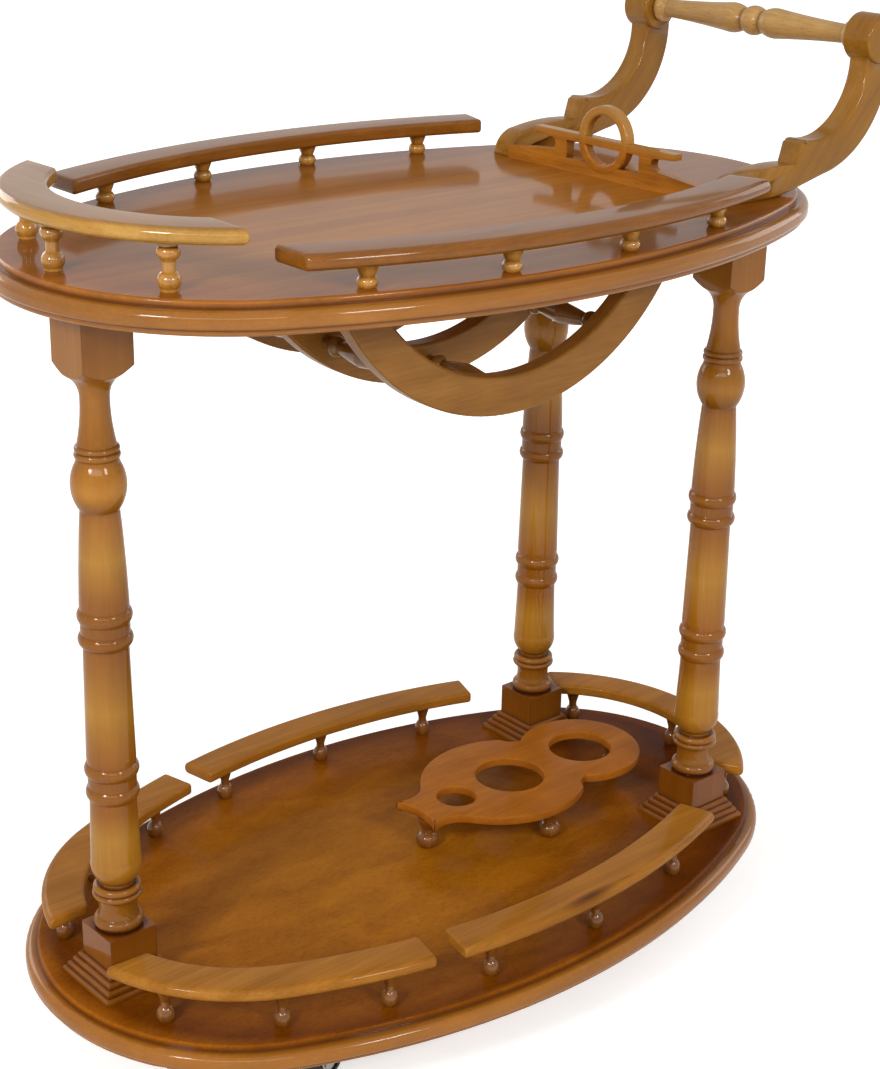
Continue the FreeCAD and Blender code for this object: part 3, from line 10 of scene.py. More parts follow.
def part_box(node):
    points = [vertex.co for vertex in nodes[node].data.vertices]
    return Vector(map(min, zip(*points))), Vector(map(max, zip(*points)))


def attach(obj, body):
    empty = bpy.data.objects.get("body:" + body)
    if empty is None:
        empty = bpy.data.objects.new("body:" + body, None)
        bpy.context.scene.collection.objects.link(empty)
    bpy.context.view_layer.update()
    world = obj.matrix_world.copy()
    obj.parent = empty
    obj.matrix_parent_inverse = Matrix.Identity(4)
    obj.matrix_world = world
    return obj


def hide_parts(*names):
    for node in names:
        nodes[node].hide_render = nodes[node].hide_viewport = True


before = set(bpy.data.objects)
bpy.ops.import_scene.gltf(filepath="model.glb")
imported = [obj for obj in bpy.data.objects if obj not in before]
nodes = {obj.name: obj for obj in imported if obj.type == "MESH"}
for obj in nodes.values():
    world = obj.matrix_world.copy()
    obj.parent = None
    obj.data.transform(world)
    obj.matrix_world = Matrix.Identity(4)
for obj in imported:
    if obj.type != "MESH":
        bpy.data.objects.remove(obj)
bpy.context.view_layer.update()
shelf_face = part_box("lower_shelf")[1][2]
top_low, top_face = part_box("top_board")[0][2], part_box("top_board")[1][2]

MM_PER_M = 1000
WHITE = "#FFFFFF"


# Small helpers for colours, shader nodes and objects
def linear(code):
    """sRGB hex to linear light: c / 12.92 if c is small, else ((c + 0.055) / 1.055) to the power 2.4."""
    channel = np.array([int(code[start:start + 2], 16) for start in (1, 3, 5)]) / 255
    light = np.where(channel < 0.04045, channel / 12.92, ((channel + 0.055) / 1.055) ** 2.4)
    return (*light.tolist(), 1.0)


def add(tree, kind, sockets=None, stops=None, **settings):
    """Add a node: sockets take a number, a colour or another node's output, and stops fill a ramp."""
    node = tree.nodes.new("ShaderNode" + kind)
    for name, value in settings.items():
        setattr(node, name, value)
    for name, value in (sockets or {}).items():
        if isinstance(value, bpy.types.NodeSocket):
            tree.links.new(value, node.inputs[name])
        else:
            node.inputs[name].default_value = value
    if stops:
        points = node.color_ramp.elements
        while len(points) < len(stops):
            points.new(1.0)
        for point, (place, code) in zip(points, stops):
            point.position = place
            point.color = linear(code) if isinstance(code, str) else (code, code, code, 1.0)
    return node


def ramp(tree, share, stops):
    """A colour, or a grey level, by a share: stops give the share and its hex code or level."""
    return add(tree, "ValToRGB", {"Fac": share}, stops=stops).outputs[0]


def noise(tree, place, size_mm, detail, **more):
    """Noise whose forms are about a size in millimetres."""
    sockets = {"Vector": place, "Scale": MM_PER_M / size_mm, "Detail": detail, **more}
    return add(tree, "TexNoise", sockets).outputs["Fac"]


def larger(tree, one, other):
    """The larger of two numbers."""
    return add(tree, "Math", {0: one, 1: other}, operation="MAXIMUM").outputs[0]


def seen_share(tree):
    """One for rays from the camera, off gloss and through glass, nought for rays that bring diffuse light."""
    path = add(tree, "LightPath").outputs
    glossy_too = larger(tree, path["Is Camera Ray"], path["Is Glossy Ray"])
    return larger(tree, glossy_too, path["Is Transmission Ray"])


def blank_material(name):
    """A material without nodes, and its node tree."""
    material = bpy.data.materials.new(name)
    material.use_nodes = True
    material.node_tree.nodes.clear()
    return material, material.node_tree


def in_scene(name, data):
    """A new object in the scene, at the origin, unturned."""
    thing = bpy.data.objects.new(name, data)
    bpy.context.scene.collection.objects.link(thing)
    return thing


class Wood:
    """Stained wood under clear gloss lacquer.

    The fibres are noise drawn out along the grain, coarse flow and fine streaks together choose the shade,
    broad clouds stand for uneven stain, and thin dark pores run with the grain. Toning multiplies the shade.
    """

    BAND_FIBRES = 9
    STREAK_SHARE = 0.42
    PORE_FIBRES = 0.55
    LACQUER_IOR = 1.5
    BARE_SPECULAR = 0.03
    RELIEF_STRENGTH = 0.10
    RELIEF_DEPTH = 0.0004

    def __init__(self, name, shades, along, fibre_mm, stretch, cloud_mm, pores, turn=(0, 0, 0)):
        self.material, self.tree = blank_material(name)
        tree = self.tree
        self.place = add(tree, "TexCoord").outputs["Object"]
        turned = add(tree, "Mapping", {"Vector": self.place, "Rotation": turn}).outputs[0]
        drawn = [1.0, 1.0, 1.0]
        drawn["XYZ".index(along)] = 1 / stretch
        flow = add(tree, "Mapping", {"Vector": turned, "Scale": drawn}).outputs[0]
        bands = noise(tree, flow, fibre_mm * self.BAND_FIBRES, 3.0, Distortion=0.6)
        streaks = noise(tree, flow, fibre_mm, 4.0, Roughness=0.62)
        self.grain = add(tree, "Mix", {0: self.STREAK_SHARE, 2: bands, 3: streaks}).outputs[0]
        dark, middle, pale = shades
        self.colour = ramp(tree, self.grain, [(0.30, dark), (0.50, middle), (0.68, pale)])
        self.tone(ramp(tree, noise(tree, self.place, cloud_mm, 2.0), [(0.30, 0.80), (0.72, 1.0)]))
        pore = noise(tree, flow, fibre_mm * self.PORE_FIBRES, 2.0)
        self.tone(ramp(tree, pore, [(0.30, 0.35), (0.42, 1.0)]), pores)

    def tone(self, by, amount=1.0):
        """Multiply the shade by a toning colour, by an amount from 0 to 1."""
        self.colour = add(self.tree, "Mix", {0: amount, 6: self.colour, 7: by}, data_type="RGBA",
                          blend_type="MULTIPLY").outputs[2]

    def blend(self, amount, by):
        """Lay another colour over the shade, by a share."""
        self.colour = add(self.tree, "Mix", {0: amount, 6: self.colour, 7: by}, data_type="RGBA").outputs[2]

    def shade_hollows(self, reach_mm, code, start=0.55):
        """Painted shade: darker where the piece's own surface closes in within a reach, in its grooves and
        necks.
        """
        open_share = add(self.tree, "AmbientOcclusion", {"Distance": reach_mm / MM_PER_M}, samples=6,
                         only_local=True).outputs["AO"]
        self.tone(ramp(self.tree, open_share, [(start, code), (0.98, WHITE)]))

    def arrises(self, reach_mm, code):
        """Glaze along the arrises: toned where the normal, rounded within a reach, leaves the true one."""
        rounded = add(self.tree, "Bevel", {"Radius": reach_mm / MM_PER_M}, samples=6).outputs[0]
        true = add(self.tree, "NewGeometry").outputs["Normal"]
        flat = add(self.tree, "VectorMath", {0: rounded, 1: true}, operation="DOT_PRODUCT").outputs["Value"]
        self.tone(ramp(self.tree, flat, [(0.74, code), (0.99, WHITE)]))

    def run(self, axis, low, high, to=1.0):
        """A number that runs from nought at one place on an axis to another number at the next."""
        place = add(self.tree, "SeparateXYZ", {0: self.place}).outputs[axis]
        return add(self.tree, "MapRange", {0: place, 1: low, 2: high, 4: to}).outputs[0]

    def height(self, low, high, to=1.0):
        """A number that runs from nought at one height to another number at the next."""
        return self.run(2, low, high, to)

    def along_z(self, low, high, stops):
        """Airbrushed toning by height: stops give the height as a share between low and high."""
        self.tone(ramp(self.tree, self.height(low, high), stops))

    def near(self, spot, spread, turn):
        """Distance from a spot in units of a spread along turned axes: below 1 inside that ellipsoid."""
        back = tuple(-value for value in spot)
        shrink = tuple(1 / value for value in spread)
        away = add(self.tree, "Mapping", {"Vector": self.place, "Location": back}).outputs[0]
        away = add(self.tree, "Mapping", {"Vector": away, "Rotation": turn}).outputs[0]
        away = add(self.tree, "Mapping", {"Vector": away, "Scale": shrink}).outputs[0]
        return add(self.tree, "VectorMath", {0: away}, operation="LENGTH").outputs["Value"]

    def lacquer(self, coat, coat_rough=0.06, rough=0.45, arris_mm=1.2):
        """Close the material: wood with a faint relief of grain, sanded arrises and a smooth clear coat."""
        arris = {}
        if arris_mm:
            arris["Normal"] = add(self.tree, "Bevel", {"Radius": arris_mm / MM_PER_M}, samples=4).outputs[0]
        relief = add(self.tree, "Bump", {"Strength": self.RELIEF_STRENGTH, "Distance": self.RELIEF_DEPTH,
                                         "Height": self.grain, **arris}).outputs[0]
        shader = add(self.tree, "BsdfPrincipled", {
            "Base Color": self.colour, "Roughness": rough, "IOR": self.LACQUER_IOR,
            "Specular IOR Level": self.BARE_SPECULAR, "Coat Weight": coat, "Coat Roughness": coat_rough,
            "Coat IOR": self.LACQUER_IOR, "Normal": relief})
        if arris:
            self.tree.links.new(arris["Normal"], shader.inputs["Coat Normal"])
        add(self.tree, "OutputMaterial", {0: shader.outputs[0]})
        return self.material


def oval_share(wood, node, bend=2.3):
    """Share of the way to a board's outline, 1 at its edge, for toning that follows the outline.

    It is ((x / a)^n + (y / b)^n) to the power 1/n about the board's middle, where a is half the length and b
    half the width.
    """
    low, high = (np.array(corner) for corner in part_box(node))
    middle, half = (low + high) / 2, (high - low) / 2
    to_middle = (-middle[0], -middle[1], 0)
    away = add(wood.tree, "Mapping", {"Vector": wood.place, "Location": to_middle}).outputs[0]
    away = add(wood.tree, "Mapping", {"Vector": away, "Scale": (1 / half[0], 1 / half[1], 0)}).outputs[0]
    away = add(wood.tree, "VectorMath", {0: away}, operation="ABSOLUTE").outputs[0]
    parts = add(wood.tree, "SeparateXYZ", {0: away})
    x = add(wood.tree, "Math", {0: parts.outputs[0], 1: bend}, operation="POWER").outputs[0]
    y = add(wood.tree, "Math", {0: parts.outputs[1], 1: bend}, operation="POWER").outputs[0]
    both = add(wood.tree, "Math", {0: x, 1: y}, operation="ADD").outputs[0]
    return add(wood.tree, "Math", {0: both, 1: 1 / bend}, operation="POWER").outputs[0]


def named(*starts):
    """CAD nodes whose names start with one of the words."""
    return [name for name in nodes if name.startswith(starts)]


def dress(material, *names):
    """Give CAD nodes a finish: it takes the place of the plain one in their material slots."""
    for name in names:
        mesh = nodes[name].data
        mesh.materials.clear()
        mesh.materials.append(material)


# Surfaces of the pieces that take the place of CAD nodes or join them
def new_piece(name, points, faces, material):
    """A piece of the trolley from arrays of points and faces, smooth, with its faces turned outwards."""
    corners = points[np.array([face[:3] for face in faces])]
    if np.einsum("ij,ij->", corners[:, 0], np.cross(corners[:, 1], corners[:, 2])) < 0:
        faces = [face[::-1] for face in faces]
    mesh = bpy.data.meshes.new(name)
    mesh.from_pydata(points.tolist(), [], faces)
    mesh.polygons.foreach_set("use_smooth", np.ones(len(faces), dtype=bool))
    mesh.materials.append(material)
    piece = in_scene(name, mesh)
    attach(piece, "trolley")
    return piece


def quads_between(count, around):
    """Quads between each row of points and the next, the last row and the first among them, row by row."""
    here = np.arange(count)[:, None] * around
    after = np.roll(here, -1, axis=0)
    left = np.arange(around)
    right = np.roll(left, -1)
    return np.stack([here + left, here + right, after + right, after + left], axis=-1)


def closed_rows(rows):
    """Points and faces of a closed skin: rows of rings joined, each end drawn to its middle point."""
    count, around = rows.shape[:2]
    points = np.concatenate([rows.reshape(-1, 3), rows[[0, -1]].mean(axis=1)])
    faces = quads_between(count, around)[:-1].reshape(-1, 4).tolist()
    here = np.arange(around)
    after = np.roll(here, -1)
    last = (count - 1) * around
    first_cap, last_cap = count * around, count * around + 1
    faces += np.stack([np.full(around, first_cap), after, here], axis=-1).tolist()
    faces += np.stack([np.full(around, last_cap), last + here, last + after], axis=-1).tolist()
    return points, faces


WELD = 1e-6
FLAT_ANGLE = math.radians(0.5)
SHARP_ANGLE = math.radians(35)
LEVEL_SLOPE = 0.3
ARC_STEPS = 4


def eased(node, material, radius_mm, upright):
    """A sawn piece with rubbed arrises: the node's mesh, welded, its sharp edges bevelled to an arc.

    The board that the piece is sawn from lies square to the upright axis. Only edges of the board's two faces
    are rubbed.
    """
    def on_face(edge):
        along = edge.verts[1].co - edge.verts[0].co
        return abs(along[upright]) < LEVEL_SLOPE * along.length

    def sharp(edge):
        return edge.is_convex and edge.calc_face_angle(0) > SHARP_ANGLE

    work = bmesh.new()
    work.from_mesh(nodes[node].data)
    work.transform(nodes[node].matrix_world)
    bmesh.ops.remove_doubles(work, verts=work.verts, dist=WELD)
    bmesh.ops.dissolve_limit(work, angle_limit=FLAT_ANGLE, verts=work.verts, edges=work.edges)
    rubbed = [edge for edge in work.edges if sharp(edge) and on_face(edge)]
    bmesh.ops.bevel(work, geom=rubbed, offset=radius_mm / MM_PER_M, segments=ARC_STEPS, profile=0.5,
                    affect="EDGES", clamp_overlap=False)
    bmesh.ops.triangulate(work, faces=work.faces)
    mesh = bpy.data.meshes.new(node + "_eased")
    work.to_mesh(mesh)
    work.free()
    mesh.materials.clear()
    mesh.materials.append(material)
    mesh.polygons.foreach_set("use_smooth", np.ones(len(mesh.polygons), dtype=bool))
    mesh.set_sharp_from_angle(angle=SHARP_ANGLE)
    piece = in_scene(node + "_eased", mesh)
    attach(piece, "trolley")
    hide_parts(node)


class Oval:
    """Four-arc oval of a board: two round ends and two flatter sides that meet in line."""

    END_RADIUS_SHARE = 0.412

    def __init__(self, node):
        low, high = (np.array(corner)[:2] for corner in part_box(node))
        self.middle = (low + high) / 2
        half_length, half_width = (high - low) / 2
        self.end_radius = 2 * half_width * self.END_RADIUS_SHARE
        self.end_x = half_length - self.end_radius
        rest = self.end_x ** 2 + half_width ** 2 - self.end_radius ** 2
        self.side_radius = rest / (2 * (half_width - self.end_radius))
        self.side_y = self.side_radius - half_width
        self.end_span = math.atan2(self.side_y, self.end_x)
        self.side_span = math.pi / 2 - self.end_span

    def plan(self, heading, offset):
        """Points by the heading of the outward normal: the arc's centre plus (radius + offset) times the
        cosine and sine of the heading.
        """
        across, up = np.cos(heading), np.sin(heading)
        on_end = np.abs(up) <= math.sin(self.end_span)
        reach = np.where(on_end, self.end_radius, self.side_radius) + offset
        x = self.middle[0] + np.where(on_end, np.sign(across) * self.end_x, 0) + reach * across
        y = self.middle[1] - np.where(on_end, 0, np.sign(up) * self.side_y) + reach * up
        return x, y


CORNER_POINTS = 9
LEAST_RADIUS = 0.0004


def rounded_section(width, thickness, outer_round, inner_round, draw_in=0):
    """Rounded rectangle, drawn in: four corner arcs, each its centre plus radius times cosine and sine."""
    half_width, half_height = width / 2 - draw_in, thickness / 2 - draw_in
    corners = ((1, 1, outer_round), (-1, 1, inner_round), (-1, -1, inner_round), (1, -1, outer_round))
    arcs = []
    for quarter, (side, level, radius) in enumerate(corners):
        radius = max(radius - draw_in, LEAST_RADIUS)
        turn = np.linspace(quarter, quarter + 1, CORNER_POINTS) * math.pi / 2
        arcs.append(np.stack([side * (half_width - radius) + radius * np.cos(turn),
                              level * (half_height - radius) + radius * np.sin(turn)], axis=-1))
    return np.concatenate(arcs)


RAIL_OUTER_SHARE = 0.48
RAIL_INNER_ROUND = 0.0035
RAIL_END_EASING = 0.0032
RAIL_END_ROWS = 6
RAIL_ROWS = 90
HEADING_STEPS = 2000


def rail_surface(node, oval, inset, width, start, stop, material):
    """A gallery rail: the section carried along the oval at an inset.

    start and stop give the heading at the inner and at the outer edge, so that slanted ends come out pointed.
    Rows stand at even lengths along the middle line; near an end the section draws in by a quarter circle.
    """
    low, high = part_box(node)
    thickness, level = high[2] - low[2], (high[2] + low[2]) / 2
    headings = np.linspace(min(*start, *stop), max(*start, *stop), HEADING_STEPS)
    x, y = oval.plan(headings, -inset)
    lengths = np.concatenate([[0], np.cumsum(np.hypot(np.diff(x), np.diff(y)))])
    ends = np.interp(np.array([start, stop]), headings, lengths)
    run = np.abs(np.diff(ends.mean(axis=1)))[0]
    turn = np.linspace(0, math.pi / 2, RAIL_END_ROWS)
    near = RAIL_END_EASING * (1 - np.cos(turn)) / run
    shares = np.concatenate([near, np.linspace(near[-1], 1 - near[-1], RAIL_ROWS)[1:-1], 1 - near[::-1]])
    drawn_in = np.zeros(len(shares))
    drawn_in[:RAIL_END_ROWS] = RAIL_END_EASING * (1 - np.sin(turn))
    drawn_in[-RAIL_END_ROWS:] = drawn_in[:RAIL_END_ROWS][::-1]
    rows = []
    for share, draw_in in zip(shares, drawn_in):
        section = rounded_section(width, thickness, thickness * RAIL_OUTER_SHARE, RAIL_INNER_ROUND, draw_in)
        outwards = section[:, 0] / width + 0.5
        at = ends[0] + share * (ends[1] - ends[0])
        heading = np.interp(at[0] + outwards * (at[1] - at[0]), lengths, headings)
        x, y = oval.plan(heading, section[:, 0] - inset)
        rows.append(np.stack([x, y, level + section[:, 1]], axis=-1))
    piece = new_piece(node + "_rounded", *closed_rows(np.array(rows)), material)
    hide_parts(node)


RING_STEPS = 96
RING_ROUND = 0.002


def fretwork_ring(outer, inner, rise, thickness, material):
    """Ring of the fretwork: a rounded rectangle carried round a circle that stands across the trolley."""
    low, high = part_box("fretwork_panel")
    section = rounded_section(outer - inner, thickness, RING_ROUND, RING_ROUND)
    around = np.linspace(0, 2 * math.pi, RING_STEPS + 1)[:-1, None]
    reach = (outer + inner) / 2 + section[:, 0]
    across = np.broadcast_to((low[0] + high[0]) / 2 + section[:, 1], (RING_STEPS, len(section)))
    rows = np.stack([across, reach * np.cos(around), top_face + rise + reach * np.sin(around)], axis=-1)
    faces = quads_between(RING_STEPS, len(section)).reshape(-1, 4).tolist()
    piece = new_piece("fretwork_ring", rows.reshape(-1, 3), faces, material)


RIM_STARTS, RIM_FULL = 0.002, 0.006
RIM_SHARE, RIM_COAT = 0.45, 0.5


def finish_board(wood, node, face, rings, rim_code, field_coat, coat_rough):
    """Finish a moulded board: toning in rings to its outline, a rim with its own shade and gloss, and painted
    shade in its recesses.
    """
    rim = (face - RIM_STARTS, face - RIM_FULL)
    wood.tone(ramp(wood.tree, oval_share(wood, node), rings))
    wood.blend(wood.height(*rim, RIM_SHARE), linear(rim_code))
    # Painted shade in the moulding's recesses.
    wood.shade_hollows(5, "#A88C70")
    coat = larger(wood.tree, wood.height(*rim, RIM_COAT), field_coat)
    dress(wood.lacquer(coat, coat_rough, arris_mm=0.6), node)


# Top board: plain-sliced veneer, long quiet grain, deep gloss that mirrors rails and spindles
top_wood = Wood("top_gloss_lacquered_veneer", ("#95591A", "#A8681E", "#B8782A"), "X",
                fibre_mm=2.4, stretch=34, cloud_mm=120, pores=0.18)
TOP_RINGS = [(0.55, WHITE), (0.92, "#DCCCBC"), (0.96, "#F4EAE0"), (0.985, "#FFF4E4"), (1.0, "#E4D4C4")]
finish_board(top_wood, "top_board", top_face, TOP_RINGS, "#8A5E24", field_coat=0.38, coat_rough=0.09)

# Lower shelf: burr-like veneer, fine mottle, warm orange, darker to edge, painted shade towards the handle
# end, little gloss
shelf_wood = Wood("shelf_lacquered_burr_veneer", ("#945608", "#A8660E", "#B87416"), "X",
                  fibre_mm=3.0, stretch=2.2, cloud_mm=160, pores=0.35)
SHELF_RINGS = [(0.30, WHITE), (0.78, "#E4D6CA"), (0.92, "#A88E78"), (0.965, "#E8D8C6"), (0.985, "#FFF2E0"),
               (1.0, "#E0CEBC")]
# Painted shade: the shelf is toned darker towards the handle end, under the caddy.
SHADE_TOWARDS_HANDLE = (-0.08, 0.36)
shelf_wood.tone(ramp(shelf_wood.tree, shelf_wood.run(0, *SHADE_TOWARDS_HANDLE), [(0.0, WHITE), (1.0, "#C4AE9A")]))
# Partly painted light: the golden rim also stands in for highlight on the shelf's down-facing moulded edge.
finish_board(shelf_wood, "lower_shelf", shelf_face, SHELF_RINGS, "#A06C28", field_coat=0.06, coat_rough=0.1)

# Legs: turned on a lathe, grain upright, golden on the long runs and toned dark at beads, plinth and block
leg_wood = Wood("leg_turned_honey_lacquer", ("#A67020", "#B07A26", "#B8842E"), "Z",
                fibre_mm=2.4, stretch=34, cloud_mm=70, pores=0.10)
leg_wood.along_z(shelf_face, top_low, [
    (0.00, "#C8AC98"), (0.085, "#BC9A80"), (0.10, "#CCB8A6"), (0.15, "#D4C0AE"), (0.19, "#F4ECDE"),
    (0.235, WHITE), (0.275, "#D4BAA2"), (0.32, "#C8B09A"), (0.36, "#DEC6AE"), (0.43, WHITE),
    (0.51, "#D4BAA2"), (0.55, "#C6AE98"), (0.59, "#D6BCA4"), (0.65, WHITE), (0.705, "#DCC8B8"),
    (0.72, "#C0AC9C"), (0.745, "#FAEEE0"), (0.78, "#E4D2C2"), (0.80, "#D4C2B4"), (0.84, "#E6D4C8"),
    (0.90, "#DCC8BA"), (1.0, "#D6C0B0")])
# Painted shade in the grooves between the beads.
leg_wood.shade_hollows(6, "#98785A", 0.45)
leg_wood.arrises(2.0, "#D8C4B0")
dress(leg_wood.lacquer(coat=0.42, coat_rough=0.05), *named("leg_"))

# Gallery rails: sawn to a curve from straight stock, so the grain runs straight while the rail bends away
side_rail_wood = Wood("side_rail_honey_lacquer", ("#74430E", "#865014", "#965F20"), "X",
                      fibre_mm=2.2, stretch=30, cloud_mm=80, pores=0.22)
side_rail_finish = side_rail_wood.lacquer(coat=0.45, coat_rough=0.09, arris_mm=None)
low_rail_wood = Wood("low_rail_honey_lacquer", ("#925A18", "#A66A20", "#B67A2E"), "X",
                     fibre_mm=2.2, stretch=30, cloud_mm=80, pores=0.22)
KNOT_PLACE, KNOT_SPREAD = (0.003, -0.2212, 0.128), (0.038, 0.007, 0.02)
KNOT_TURN = (0, 0, math.radians(-2))
knot = low_rail_wood.near(KNOT_PLACE, KNOT_SPREAD, KNOT_TURN)
low_rail_wood.blend(ramp(low_rail_wood.tree, knot, [(0.2, 0.85), (0.55, 0.5), (1.0, 0.0)]), linear("#4E220A"))
low_rail_finish = low_rail_wood.lacquer(coat=0.17, coat_rough=0.1, arris_mm=None)
end_rail_wood = Wood("end_rail_honey_lacquer", ("#A47428", "#B88636", "#C69648"), "Y",
                     fibre_mm=2.2, stretch=30, cloud_mm=80, pores=0.22)
end_rail_low, end_rail_high = (corner[2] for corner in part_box("top_end_rail"))
# Painted shade and sheen: the end rail's top is toned darker and greyer than its outer edge.
end_rail_wood.along_z(end_rail_low, end_rail_high, [(0.80, WHITE), (0.99, "#D4C4B8")])
end_rail_finish = end_rail_wood.lacquer(coat=0.6, coat_rough=0.09, arris_mm=None)

# Where the rails run: shares of the half span of a round end or of a side, at the inner and at the outer edge
top_oval, shelf_oval = Oval("top_board"), Oval("lower_shelf")
TOP_END_RAIL = np.array([0.745, 0.90])
LOWER_END_RAIL = np.array([0.748, 0.794])
TOP_SIDE_RAIL = np.array([[-1.0, -0.94], [0.78, 0.78]])
LOWER_SIDE_RAIL = np.array([[-0.44, -0.44], [0.796, 0.796]])
CORNER_RAIL = np.array([0.290, 0.214])
CORNER_RAIL_END = 0.535
TOP_RAIL_WIDTH, LOWER_RAIL_WIDTH = 0.040, 0.038
TOP_END_INSET, TOP_SIDE_INSET, LOWER_INSET = 0.035, 0.027, 0.036

span = top_oval.end_span * TOP_END_RAIL
rail_surface("top_end_rail", top_oval, TOP_END_INSET, TOP_RAIL_WIDTH, math.pi - span, math.pi + span,
             end_rail_finish)
span = shelf_oval.end_span * LOWER_END_RAIL
rail_surface("lower_end_rail", shelf_oval, LOWER_INSET, LOWER_RAIL_WIDTH, -span, span, low_rail_finish)
for word, side in (("front", -1), ("rear", 1)):
    start, stop = side * (math.pi / 2 - top_oval.side_span * TOP_SIDE_RAIL)
    rail_surface("top_%s_rail" % word, top_oval, TOP_SIDE_INSET, TOP_RAIL_WIDTH, start, stop,
                 side_rail_finish)
    start, stop = side * (math.pi / 2 - shelf_oval.side_span * LOWER_SIDE_RAIL)
    rail_surface("lower_%s_right_rail" % word, shelf_oval, LOWER_INSET, LOWER_RAIL_WIDTH, start, stop,
                 low_rail_finish)
    start = side * (math.pi - shelf_oval.end_span * CORNER_RAIL)
    stop = side * np.full(2, math.pi / 2 + CORNER_RAIL_END * shelf_oval.side_span)
    rail_surface("lower_%s_left_rail" % word, shelf_oval, LOWER_INSET, LOWER_RAIL_WIDTH, start, stop,
                 low_rail_finish)

# Spindles: small turnings, painted shade darkest in the necks, wet-looking lacquer
spindle_wood = Wood("spindle_turned_honey_lacquer", ("#A06A24", "#BA8232", "#CE9A4A"), "Z",
                    fibre_mm=1.0, stretch=16, cloud_mm=18, pores=0.25)
# Painted shade in the necks and recesses.
spindle_wood.shade_hollows(4, "#8A6A4C", 0.5)
dress(spindle_wood.lacquer(coat=1.0, coat_rough=0.05, arris_mm=0.8),
      *[name for name in named("top_") if name.endswith("_spindles")])
low_spindle_wood = Wood("low_spindle_turned_honey_lacquer", ("#6A3C10", "#824E1A", "#986430"), "Z",
                        fibre_mm=1.0, stretch=16, cloud_mm=18, pores=0.30)
# Painted shade in the necks and recesses.
low_spindle_wood.shade_hollows(4, "#7A5A3C", 0.5)
dress(low_spindle_wood.lacquer(coat=0.7, coat_rough=0.04, arris_mm=0.8), "caddy_feet",
      *[name for name in named("lower_") if name.endswith("_spindles")])
cradle_spindle_wood = Wood("cradle_spindle_honey_lacquer", ("#74481C", "#8E602A", "#A4763A"), "Y",
                           fibre_mm=1.0, stretch=16, cloud_mm=30, pores=0.35)
# Painted shade in the necks and recesses.
cradle_spindle_wood.shade_hollows(4, "#7A5A3C", 0.5)
dress(cradle_spindle_wood.lacquer(coat=0.6, coat_rough=0.07), *named("cradle_spindles"))

# Handle arms: band-sawn from a thick board whose grain slants up to the grip
arm_wood = Wood("arm_sawn_honey_lacquer", ("#885618", "#98661F", "#A6742C"), "X",
                fibre_mm=2.2, stretch=28, cloud_mm=70, pores=0.22, turn=(0, math.radians(48), 0))
# Painted shade in the recesses.
arm_wood.shade_hollows(8, "#94765A", 0.5)
arm_wood.arrises(5.0, "#C8AC90")
arm_finish = arm_wood.lacquer(coat=0.35, coat_rough=0.12, arris_mm=None)
for arm in named("handle_arm"):
    eased(arm, arm_finish, radius_mm=3.0, upright=1)

# Handle grip: turned from paler wood, rubbed dull by hands
grip_wood = Wood("grip_turned_honey_lacquer", ("#B0854A", "#C2965A", "#D0A86E"), "Y",
                 fibre_mm=1.4, stretch=24, cloud_mm=50, pores=0.4)
# Painted shade in the recesses.
grip_wood.shade_hollows(5, "#8A6A4C", 0.5)
dress(grip_wood.lacquer(coat=0.3, coat_rough=0.2, rough=0.5), "handle_grip")

# Fretwork: thin panel sawn through, grain across the trolley, orange below and golden above
fret_wood = Wood("fretwork_sawn_honey_lacquer", ("#925610", "#B06C1E", "#C68430"), "Y",
                 fibre_mm=1.6, stretch=22, cloud_mm=50, pores=0.4)
# Painted shade in the recesses.
fret_wood.shade_hollows(6, "#94765A", 0.5)
GOLDEN_FROM, GOLDEN_FULL, GOLDEN_SHARE = 0.030, 0.038, 0.55
golden = fret_wood.height(top_face + GOLDEN_FROM, top_face + GOLDEN_FULL, GOLDEN_SHARE)
fret_wood.blend(golden, linear("#B88A44"))
fret_finish = fret_wood.lacquer(coat=0.4, arris_mm=1.0)
dress(fret_finish, "fretwork_panel")
fretwork_ring(outer=0.0314, inner=0.0228, rise=0.0355, thickness=0.0108, material=fret_finish)

# Cradle hoops: sawn half rings, matt enough to show the open grain
hoop_wood = Wood("hoop_sawn_honey_lacquer", ("#86561E", "#98662A", "#A67436"), "X",
                 fibre_mm=2.4, stretch=16, cloud_mm=45, pores=0.15)
# Painted shade in the recesses.
hoop_wood.shade_hollows(6, "#94765A", 0.5)
dress(hoop_wood.lacquer(coat=0.22, coat_rough=0.14), *named("cradle_hoop"))

# Bottle caddy: reddest piece, rim toned dark
caddy_wood = Wood("caddy_sawn_amber_lacquer", ("#945412", "#A8621A", "#B87024"), "X",
                  fibre_mm=2.4, stretch=12, cloud_mm=60, pores=0.2)
# Painted shade in the recesses.
caddy_wood.shade_hollows(6, "#94765A", 0.5)
caddy_wood.arrises(2.5, "#A07858")
caddy_finish = caddy_wood.lacquer(coat=0.08, coat_rough=0.10, arris_mm=None)
eased("caddy_plate", caddy_finish, radius_mm=2.4, upright=2)

# Dowels: bare beech, pale and close-grained, no lacquer
dowel_wood = Wood("dowel_bare_beech", ("#A98257", "#C49C6E", "#D8B488"), "Z",
                  fibre_mm=0.8, stretch=14, cloud_mm=12, pores=0.3)
dress(dowel_wood.lacquer(coat=0.0, rough=0.65), *[name for name in nodes if name.endswith("_dowels")])


# Casters: plated steel and moulded rubber
def caster_zinc():
    """Zinc-plated pressed steel: cool grey, cloudy plating, satin."""
    material, tree = blank_material("caster_zinc_plated_steel")
    cloud = noise(tree, add(tree, "TexCoord").outputs["Object"], 6, 4.0)
    colour = ramp(tree, cloud, [(0.30, "#77756F"), (0.70, "#A8A69E")])
    rough = add(tree, "MapRange", {0: cloud, 3: 0.26, 4: 0.42}).outputs[0]
    shader = add(tree, "BsdfPrincipled", {"Base Color": colour, "Metallic": 1.0, "Roughness": rough})
    add(tree, "OutputMaterial", {0: shader.outputs[0]})
    return material


